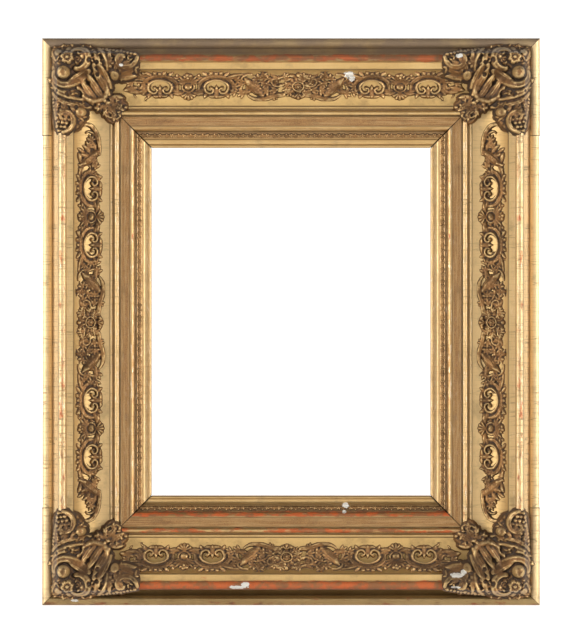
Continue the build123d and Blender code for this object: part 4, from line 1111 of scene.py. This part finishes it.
def gilt_moulding(name, colours):
    """Water gilding over red bole: rubbed on the crests, grimy and with painted shade in the quirks, cracked
    across the rails, with a painted highlight and painted glints on the side rails, dust and painted shade on the
    top rail's outer mouldings, and painted shade on the bottom rail's outer mouldings.
    """
    material, place = start_material(name)
    tree = material.node_tree
    across, flow, spot, upright = place["Across"], place["Flow"], place["Spot"], place["Upright"]
    level_rail = 1 - upright
    low_rail = level_rail * place["Lower"]
    high_rail = level_rail - low_rail

    clouds = noise(flow, 0.012, 5.0, 0.6)
    streaks = noise(drawn(flow, (0.02, 0.9, 0.9)), 1.0, 4.0)
    colour = blend(rise(clouds * 0.6 + streaks * 0.4, 0.34, 0.64), colours.old_gold, colours.gold)
    matte = profile(across, MATTE_PROFILE) * 0.9
    colour = blend(matte, colour, colours.matte_gold)
    sanded = within(across, *FRIEZE, 0.25)
    grains = noise(spot, 1.3, 3.0, 0.7)
    sand = blend(rise(grains, 0.3, 0.7), *SAND)
    sand = blend(rise(streaks, 0.47, 0.6) * 0.5, sand, colours.gold)
    sand = blend(rise(streaks, 0.44, 0.3, 0.0, 0.5), sand, SAND_STAIN)
    colour = blend(sanded, colour, sand)
    # Painted highlight: pale cream on the side rails only
    pale = upright * profile(across, SIDE_HIGHLIGHT_PROFILE)
    colour = blend(pale, colour, colours.side_highlight)
    toned = profile(across, TONE_PROFILE) * (rise(streaks, 0.35, 0.65) * 0.7 + 0.5)
    colour = blend(toned, colour, colours.brown)
    colour = blend(within(across, *LEAF_BAND) * 0.7, colour, LEAF_GROUND)

    # Painted glints: bright flecks, more of them on the side rails
    glint_flecks = rise(noise(drawn(flow, (0.09, 1.3, 1.3)), 1.0, 5.0, 0.7), 0.56, 0.64)
    glint_flecks = glint_flecks * (upright * 0.65 + 0.2) * profile(across, PAINTED_GLINT_PROFILE)
    colour = blend(glint_flecks, colour, PAINTED_GLINT)
    outer = rise(across, *OUTER_FADE)
    red_rail = low_rail * (outer * 0.22 + 0.66) + high_rail * (outer * 0.33 + 0.30) + upright * 0.42
    amount = profile(across, BOLE_PROFILE) * red_rail
    rubbed = put(tree, "Rubbed places", flow=flow, amount=amount, scale=0.16)["Mask"]
    bole = blend(rise(noise(flow, 0.09, 4.0), 0.4, 0.62), colours.bole, DARK_BOLE)
    colour = blend(rubbed * 0.85, colour, bole)

    cracks = put(tree, "Age cracks", flow=flow, spacing=5.2, width=0.03)["Mask"]
    cracks = cracks * (upright * 0.75 + 0.25) * rise(across, *CRACK_FADE, 0.4, 1.0) * (1 - matte * 0.6)
    open_width = rise(across, *MITRE_OPENING) * 0.9 + 0.4
    mitre = rise(place["Mitre"], 0.12, open_width, 1.0, 0.0)
    # Dark marks: dirt in cracks, open mitres and joints, soot and dirt patches, and grime with painted shade in
    # the quirks
    dirt = [cracks * 0.5, mitre * 0.9, profile(across, QUIRK_SHADE_PROFILE)]
    for height in EDGE_JOINTS:
        off = abs(place["Along"] - height)
        dirt.append(upright * rise(off, 0.25, 0.7, 0.85, 0.0) * rise(across, *EDGE_RIM))
    dirt.append(high_rail * within(across, *SOOT_BAND, 1.5) * rise(streaks, 0.3, 0.6, 0.15, 0.5))
    dirt.append(rise(noise(flow, 0.05, 6.0, 0.65), 0.5, 0.72) * 0.28)
    grime_and_shade = most(*dirt)
    colour = blend(grime_and_shade, colour, colours.grime_and_shade)
    # Grey dust and painted shade on the top rail's outer mouldings, whose faces look up, away from the side lights
    dust_and_shade = high_rail * rise(across, *DUST_AND_SHADE_FADE) * rise(noise(flow, 0.03, 4.0), 0.3, 0.6, 0.6, 0.9)
    colour = blend(dust_and_shade, colour, colours.dust)
    # Painted shade on the outer mouldings of the bottom rail, whose faces look down
    colour = blend(low_rail * rise(across, *LOWER_RAIL_SHADE_FADE, 0.0, 0.62), colour, LOWER_RAIL_SHADE)

    paint = rise(across, *SIDE_ACROSS) * rise(place["Depth"], *SIDE_DEPTH)
    colour = blend(paint, colour, blend(clouds, *SIDE_PAINT))
    rearward = split(source(tree, "NewGeometry", "Normal"))[1]
    rebate = rise(across, *REBATE_ACROSS) * rise(place["Depth"], *REBATE_DEPTH)
    bare = most(rise(rearward, 0.4, 0.7), rebate)
    colour = blend(bare, colour, blend(streaks, colours.pine, DARK_PINE))
    lost = put(tree, "Lost chips", spot=spot)["Mask"] * (1 - bare)
    colour = blend(lost, colour, GESSO)

    dull = most(rubbed * 0.8, sanded * 0.75, paint, bare, lost, grime_and_shade * 0.7, pale * 0.6, dust_and_shade * 0.9)
    metallic = colours.lustre - dull * colours.lustre
    roughness = matte * 0.22 + 0.33 + dull * 0.3
    height = grains * (sanded * 1.3 + 0.10) - most(cracks, mitre) * 0.8 - rubbed * 0.25 - lost
    return finish_material(material, colour, metallic, roughness, height, BUMP_DEPTH)


def gilt_cast(name, colours, lustre, dusty, sooty=0.1):
    """Bronzed gold on cast ornament: bright on what stands out, partly clean leaf and partly a painted highlight,
    brown in the hollows, with grey dust.
    """
    material, place = start_material(name)
    tree, spot = material.node_tree, place["Spot"]
    fine = noise(spot, 0.9, 4.0, 0.65)
    clouds = noise(spot, 0.045, 4.0)
    relief = source(tree, "Attribute", "Fac", attribute_name="cavity") + (fine * 0.5 - 0.25)
    colour = blend(rise(clouds, 0.35, 0.65), colours.patina, colours.bronze)
    colour = blend(rise(relief, 0.0, -0.45), colour, colours.grime_and_shade)
    colour = blend(rise(noise(spot, 0.07, 3.0), 0.4, 0.62) * sooty, colour, colours.grime_and_shade)
    # Clean leaf and painted highlight on the raised parts
    bright = rise(relief, 0.1, 0.62) * (clouds * 0.7 + 0.25)
    colour = blend(bright, colour, colours.gold)
    warm = put(tree, "Rubbed places", flow=spot, amount=0.4, scale=0.12)["Mask"]
    colour = blend(warm * 0.2, colour, WARM_BRONZE)
    dust = put(tree, "Settled dust", spot=spot, amount=dusty)["Mask"]
    colour = blend(dust, colour, colours.dust)
    lost = put(tree, "Lost chips", spot=spot)["Mask"]
    colour = blend(lost, colour, GESSO)
    dull = most(dust, lost, rise(relief, 0.1, -0.5))
    roughness = 0.5 - bright * 0.14 + dull * 0.2
    return finish_material(material, colour, lustre - dull * lustre, roughness, fine * 0.5 - lost, BUMP_DEPTH)


def aged_pine(name, colours, upright):
    """Old softwood with its grain along an upright or a level board, with stains and dust."""
    material, place = start_material(name)
    spot = place["Spot"]
    along_grain = drawn(spot, (0.30, 0.30, 0.010) if upright else (0.010, 0.30, 0.30))
    rings = calc("SINE", noise(along_grain, 0.35, 2.0) * 26.0) * 0.5 + 0.5
    grain = rings * 0.4 + noise(along_grain, 5.0, 5.0, 0.7) * 0.6
    colour = blend(rise(grain, 0.25, 0.85), colours.pine, PINE_GRAIN)
    colour = blend(rise(noise(spot, 0.02, 5.0), 0.5, 0.7) * 0.4, colour, colours.dust)
    return finish_material(material, colour, 0.0, 0.78, grain, 0.00025)


def old_metal(name, bright, dark, roughness):
    """Dull metal, darker in patches, with fine scratches."""
    material, place = start_material(name)
    patches = noise(place["Spot"], 0.12, 5.0, 0.65)
    scratches = noise(drawn(place["Spot"], (4.0, 0.4, 0.5)), 1.0, 3.0)
    colour = blend(rise(patches, 0.38, 0.66), bright, dark)
    return finish_material(material, colour, 0.9, patches * 0.3 + roughness, scratches, 0.00005)


def wooden_peg(name):
    """End grain of a hardwood peg."""
    material, place = start_material(name)
    pores = noise(place["Spot"], 1.6, 4.0, 0.7)
    return finish_material(material, blend(rise(pores, 0.35, 0.7), *PEG_END), 0.0, 0.7, pores, 0.0002)


def dirt_and_shade_fill(name):
    """Dark crumbs of dirt and old glue, near black, that also stand in for the shade in the gaps they fill."""
    material, place = start_material(name)
    crumbs = noise(place["Spot"], 2.0)
    return finish_material(material, blend(crumbs, *DIRT_AND_SHADE), 0.0, 0.9, crumbs, BUMP_DEPTH)


def finish_nodes(material, *starts):
    """Gives every CAD node whose name starts so its material."""
    for name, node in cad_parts.items():
        if name.startswith(starts):
            if not node.material_slots:
                node.data.materials.append(material)
            for slot in node.material_slots:
                slot.link = "OBJECT"
                slot.material = material


def world_of(settings):
    """Studio surroundings: white to the camera, a pale band at eye level and darker above and below."""
    world = bpy.data.worlds.new("Studio")
    bpy.context.scene.world = world
    world.use_nodes = True
    tree = world.node_tree
    tree.nodes.clear()
    upward = abs(split(source(tree, "TexCoord", "Generated"))[2])
    band = rise(upward, 0.10, 0.75, settings.eye_level_light, settings.overhead_light)
    soft = source(tree, "Background", 0, {"Color": WHITE, "Strength": band})
    white = source(tree, "Background", 0, {"Color": WHITE, "Strength": 1.0})
    seen = source(tree, "LightPath", "Is Camera Ray")
    add(tree, "OutputWorld", {0: work("MixShader", {0: seen, 1: soft, 2: white})})


def stage_material(name, glow):
    """Pale studio surface that shows white to the camera, in metal and in glass, and keeps shadows."""
    material = bpy.data.materials.new(name)
    material.use_nodes = True
    tree = material.node_tree
    tree.nodes.clear()
    path = fields(add(tree, "LightPath").outputs)
    seen = most(*(path[f"Is {ray} Ray"] for ray in ("Camera", "Glossy", "Transmission")))
    paper = source(tree, "BsdfDiffuse", 0, {"Color": PAPER})
    light = source(tree, "Emission", 0, {"Color": WHITE, "Strength": seen * glow})
    add(tree, "OutputMaterial", {0: work("AddShader", {0: paper, 1: light})})
    return material


def softbox(name, place, size, watts, colour):
    """Rectangular studio light that looks at the middle of the frame."""
    data = bpy.data.lights.new(name, "AREA")
    data.shape = "RECTANGLE"
    data.size, data.size_y = size
    data.energy = watts
    data.color = colour
    lamp = bpy.data.objects.new(name, data)
    lamp.location = place
    lamp.rotation_euler = (Vector((0, 0, HEIGHT / 2)) - Vector(place)).to_track_quat("-Z", "Y").to_euler()
    bpy.context.scene.collection.objects.link(lamp)


def stage_plane(name, place, turn, material):
    bpy.ops.object.select_all(action="DESELECT")
    bpy.ops.mesh.primitive_plane_add(size=STAGE_SIZE, location=place, rotation=turn)
    plane = bpy.context.object
    plane.name = name
    plane.data.materials.append(material)


# Settings that a user would change
class ReliefSettings(bpy.types.PropertyGroup):
    run_pitch: bpy.props.FloatProperty(
        name="Foliage grid", description="Grid step of the scrolls and flowers, in mm",
        default=0.5, min=0.3, max=2.0)
    corner_pitch: bpy.props.FloatProperty(
        name="Corner grid", description="Grid step of the corner casts, in mm",
        default=0.55, min=0.3, max=2.0)
    slip_pitch: bpy.props.FloatProperty(
        name="Slip grid", description="Grid step of the slip's leaves, in mm",
        default=0.4, min=0.25, max=1.0)


def colour_setting(name, description, value):
    return bpy.props.FloatVectorProperty(
        name=name, description=description, default=value, size=3, subtype="COLOR", min=0.0, max=1.0)


class GildingColours(bpy.types.PropertyGroup):
    gold: colour_setting("Gold", "Bright leaf on what stands out", (0.80, 0.56, 0.25))
    old_gold: colour_setting("Old gold", "Leaf toned by age", (0.56, 0.36, 0.14))
    matte_gold: colour_setting("Matte gold", "Unburnished leaf in the hollow", (0.62, 0.41, 0.16))
    bronze: colour_setting("Bronze", "Cast ornament where it is lighter", (0.32, 0.16, 0.055))
    patina: colour_setting("Patina", "Cast ornament where it is darker", (0.15, 0.074, 0.027))
    bole: colour_setting("Bole", "Red clay under the leaf", (0.60, 0.095, 0.014))
    # Colour of the painted highlight on the side rails
    side_highlight: colour_setting("Side highlight", "Painted highlight on the side rails", (0.98, 0.74, 0.42))
    brown: colour_setting("Brown", "Toned leaf of the inner mouldings", (0.30, 0.15, 0.05))
    # Dirt in cracks and hollows, and the painted shade in the quirks of the mouldings
    grime_and_shade: colour_setting("Grime and shade", "Dirt in cracks and hollows, painted shade and dirt in the quirks", (0.045, 0.024, 0.010))
    # Also the colour of the painted shade on the top rail's outer mouldings
    dust: colour_setting("Dust", "Grey dust on what faces up", (0.20, 0.138, 0.094))
    pine: colour_setting("Pine", "Bare wood of the back", (0.36, 0.22, 0.11))
    lustre: bpy.props.FloatProperty(
        name="Lustre", description="How metallic the leaf is", default=0.82, min=0.0, max=1.0, subtype="FACTOR")


class StudioSettings(bpy.types.PropertyGroup):
    distance: bpy.props.FloatProperty(
        name="Distance", description="From the camera to the frame's outer edge", default=3.0, unit="LENGTH")
    side_power: bpy.props.FloatProperty(
        name="Side lights", description="Power of each side light", default=52.0, unit="POWER")
    front_power: bpy.props.FloatProperty(
        name="Front light", description="Power of the weak front light", default=9.0, unit="POWER")
    eye_level_light: bpy.props.FloatProperty(
        name="Eye-level light", description="Strength of the surroundings at eye level", default=0.55)
    overhead_light: bpy.props.FloatProperty(
        name="Overhead light", description="Strength of the surroundings above and below", default=0.16)


class FRAME_OT_scrolls(bpy.types.Operator):
    """Carves the scroll runs of the four rails"""

    bl_idname = "frame.scrolls"
    bl_label = "Carve scrolls"

    def execute(self, context):
        settings = context.scene.frame_relief
        material = gilt_cast("Scroll gilding", context.scene.frame_colours, 0.72, 0.28)
        runs = {upright: foliage_run(upright, settings.run_pitch) for upright in (True, False)}
        for side in SIDES:
            upright = side in ("left", "right")
            for hand, end in ((-1, "lower" if upright else "left"), (1, "upper" if upright else "right")):
                node = f"scrolls_{side}_{end}"
                wrap = on_hollow(side, hand, RUN_SHIFTS[side])
                settle(carve("carved_" + node, runs[upright], wrap), material, node)
        return {"FINISHED"}


class FRAME_OT_flowers(bpy.types.Operator):
    """Carves the flower in the middle of each rail"""

    bl_idname = "frame.flowers"
    bl_label = "Carve flowers"

    def execute(self, context):
        material = gilt_cast("Flower gilding", context.scene.frame_colours, 0.72, 0.28)
        flower = Relief((-20.0, -16.5), (20.0, 22.5), context.scene.frame_relief.run_pitch * 0.8)
        centre_flower(flower)
        tangle(flower, 51, 90, 4.0, 1.2, 1.0, 0.6)
        cast_look(flower, 61)
        for side in SIDES:
            node = "flower_" + side
            wrap = on_hollow(side, 1, FLOWER_SHIFTS[side])
            settle(carve("carved_" + node, flower, wrap), material, node)
        return {"FINISHED"}


class FRAME_OT_corners(bpy.types.Operator):
    """Carves the four corner casts from one relief"""

    bl_idname = "frame.corners"
    bl_label = "Carve corners"

    def execute(self, context):
        material = gilt_cast("Corner gilding", context.scene.frame_colours, 0.62, 0.3, 0.35)
        relief = corner_cast(context.scene.frame_relief.corner_pitch)
        for corner, side_x, side_z in CORNERS:
            node = "corner_" + corner
            piece = carve("carved_" + node, relief, on_corner(side_x, side_z), cast_under)
            settle(piece, material, node)
        return {"FINISHED"}


class FRAME_OT_slip_leaves(bpy.types.Operator):
    """Carves the small running leaves of the slip"""

    bl_idname = "frame.slip_leaves"
    bl_label = "Carve slip leaves"

    def execute(self, context):
        material = gilt_cast("Slip leaf gilding", context.scene.frame_colours, 0.78, 0.1, 0.0)
        for side in SIDES:
            length = (HEIGHT if side in ("left", "right") else WIDTH) / MM
            node = "slip_leaves_" + side
            relief = slip_strip(length, context.scene.frame_relief.slip_pitch)
            settle(carve("carved_" + node, relief, on_slip(side)), material, node)
        return {"FINISHED"}


class FRAME_OT_mitre_dirt_and_shade(bpy.types.Operator):
    """Fills the depth of the slip's open mitres with near-black old dirt that stands in for their shade"""

    bl_idname = "frame.mitre_dirt"
    bl_label = "Fill mitres"

    def execute(self, context):
        # Old dirt, near black, as painted shade in the mitre gaps
        material = dirt_and_shade_fill("Old dirt and painted shade")
        low, high = (edge * MM for edge in MITRE_FILL_REACH)
        deep, shallow = (BACK_Y - q * MM for q in MITRE_FILL_LEVELS)
        middle = (low + high) / 2
        for corner, side_x, side_z in CORNERS:
            place_z = HEIGHT / 2 + side_z * (HEIGHT / 2 - middle)
            place = (side_x * (WIDTH / 2 - middle), (deep + shallow) / 2, place_z)
            bpy.ops.object.select_all(action="DESELECT")
            bpy.ops.mesh.primitive_cube_add(size=1, location=place, rotation=(0, -side_x * side_z * pi / 4, 0))
            piece = bpy.context.object
            piece.scale = ((high - low) * sqrt(2), deep - shallow, MITRE_FILL_WIDTH * MM)
            bpy.ops.object.transform_apply(location=True, rotation=True, scale=True)
            bpy.ops.object.mode_set(mode="EDIT")
            bpy.ops.mesh.select_all(action="SELECT")
            bpy.ops.mesh.bevel(offset=MITRE_FILL_ROUGHNESS * MM, segments=1)
            bpy.ops.mesh.subdivide(number_cuts=4)
            bpy.ops.transform.vertex_random(offset=MITRE_FILL_ROUGHNESS * MM, seed=5)
            bpy.ops.object.mode_set(mode="OBJECT")
            piece.name = "mitre_dirt_" + corner
            piece.data.materials.append(material)
            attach(piece, "frame")
        return {"FINISHED"}


class FRAME_OT_gilding(bpy.types.Operator):
    """Gilds and ages the mouldings"""

    bl_idname = "frame.gilding"
    bl_label = "Gild mouldings"

    def execute(self, context):
        colours = context.scene.frame_colours
        finish_nodes(gilt_moulding("Moulding gilding", colours), "edge_", "crest_", "hollow_", "frieze_")
        slips = tuple("slip_" + side for side in SIDES)
        finish_nodes(gilt_moulding("Slip gilding", colours), *slips)
        return {"FINISHED"}


class FRAME_OT_back(bpy.types.Operator):
    """Finishes the boards, pegs and metal fittings of the back"""

    bl_idname = "frame.back"
    bl_label = "Finish back"

    def execute(self, context):
        colours = context.scene.frame_colours
        finish_nodes(aged_pine("Aged pine of the stiles", colours, True), "back_stile_")
        finish_nodes(aged_pine("Aged pine of the rails", colours, False), "back_rail_")
        finish_nodes(wooden_peg("Peg end grain"), "corner_pegs")
        finish_nodes(old_metal("Dull brass", *BRASS, 0.3), "turn_button_", "hanger_")
        finish_nodes(old_metal("Rusted steel", *STEEL, 0.4), "slip_pins", "turn_button_screws", "hanger_screws")
        return {"FINISHED"}


class FRAME_OT_stage(bpy.types.Operator):
    """Sets the floor, backdrop, lights and camera"""

    bl_idname = "frame.stage"
    bl_label = "Set stage"

    def execute(self, context):
        studio = context.scene.frame_studio
        world_of(studio)
        stage_plane("floor", (0, 0, FLOOR_DROP), (0, 0, 0), stage_material("Floor paper", FLOOR_GLOW))
        paper = stage_material("Backdrop paper", BACKDROP_GLOW)
        stage_plane("backdrop", (0, BACKDROP_Y, 0), (radians(90), 0, 0), paper)
        for side, name in ((-1, "left softbox"), (1, "right softbox")):
            place = (side * SIDE_BOX[0], *SIDE_BOX[1:])
            softbox(name, place, SIDE_BOX_SIZE, studio.side_power, WARM_WHITE)
        softbox("front softbox", FRONT_BOX, FRONT_BOX_SIZE, studio.front_power, WHITE[:3])
        data = bpy.data.cameras.new("camera")
        data.lens = data.sensor_width * studio.distance / (IMAGE_SIZE[1] * SCALE * MM)
        camera = bpy.data.objects.new("camera", data)
        off_x = (IMAGE_SIZE[0] / 2 - PHOTO_CENTRE[0]) * SCALE * MM
        off_z = (PHOTO_CENTRE[1] - IMAGE_SIZE[1] / 2) * SCALE * MM
        camera.location = (off_x, -studio.distance, HEIGHT / 2 + off_z)
        camera.rotation_euler = (radians(90), 0, 0)
        context.scene.collection.objects.link(camera)
        context.scene.camera = camera
        context.scene.view_settings.view_transform = "Standard"
        return {"FINISHED"}


OPERATORS = (FRAME_OT_stage, FRAME_OT_scrolls, FRAME_OT_flowers, FRAME_OT_corners, FRAME_OT_slip_leaves,
             FRAME_OT_mitre_dirt_and_shade, FRAME_OT_gilding, FRAME_OT_back)


class FRAME_PT_finisher(bpy.types.Panel):
    """Lists the steps that dress the frame"""

    bl_label = "Gilded Frame"
    bl_space_type = "VIEW_3D"
    bl_region_type = "UI"
    bl_category = "Gilded Frame"

    def draw(self, context):
        for step in OPERATORS:
            self.layout.operator(step.bl_idname)


CLASSES = (ReliefSettings, GildingColours, StudioSettings, *OPERATORS, FRAME_PT_finisher)


def register():
    for each in CLASSES:
        bpy.utils.register_class(each)
    bpy.types.Scene.frame_relief = bpy.props.PointerProperty(type=ReliefSettings)
    bpy.types.Scene.frame_colours = bpy.props.PointerProperty(type=GildingColours)
    bpy.types.Scene.frame_studio = bpy.props.PointerProperty(type=StudioSettings)


def unregister():
    for name in ("frame_relief", "frame_colours", "frame_studio"):
        delattr(bpy.types.Scene, name)
    for each in reversed(CLASSES):
        bpy.utils.unregister_class(each)


def main():
    register()
    for make_group in GROUPS:
        make_group()
    bpy.ops.frame.stage()
    bpy.ops.frame.scrolls()
    bpy.ops.frame.flowers()
    bpy.ops.frame.corners()
    bpy.ops.frame.slip_leaves()
    bpy.ops.frame.mitre_dirt()
    bpy.ops.frame.gilding()
    bpy.ops.frame.back()


if __name__ == "__main__":
    main()
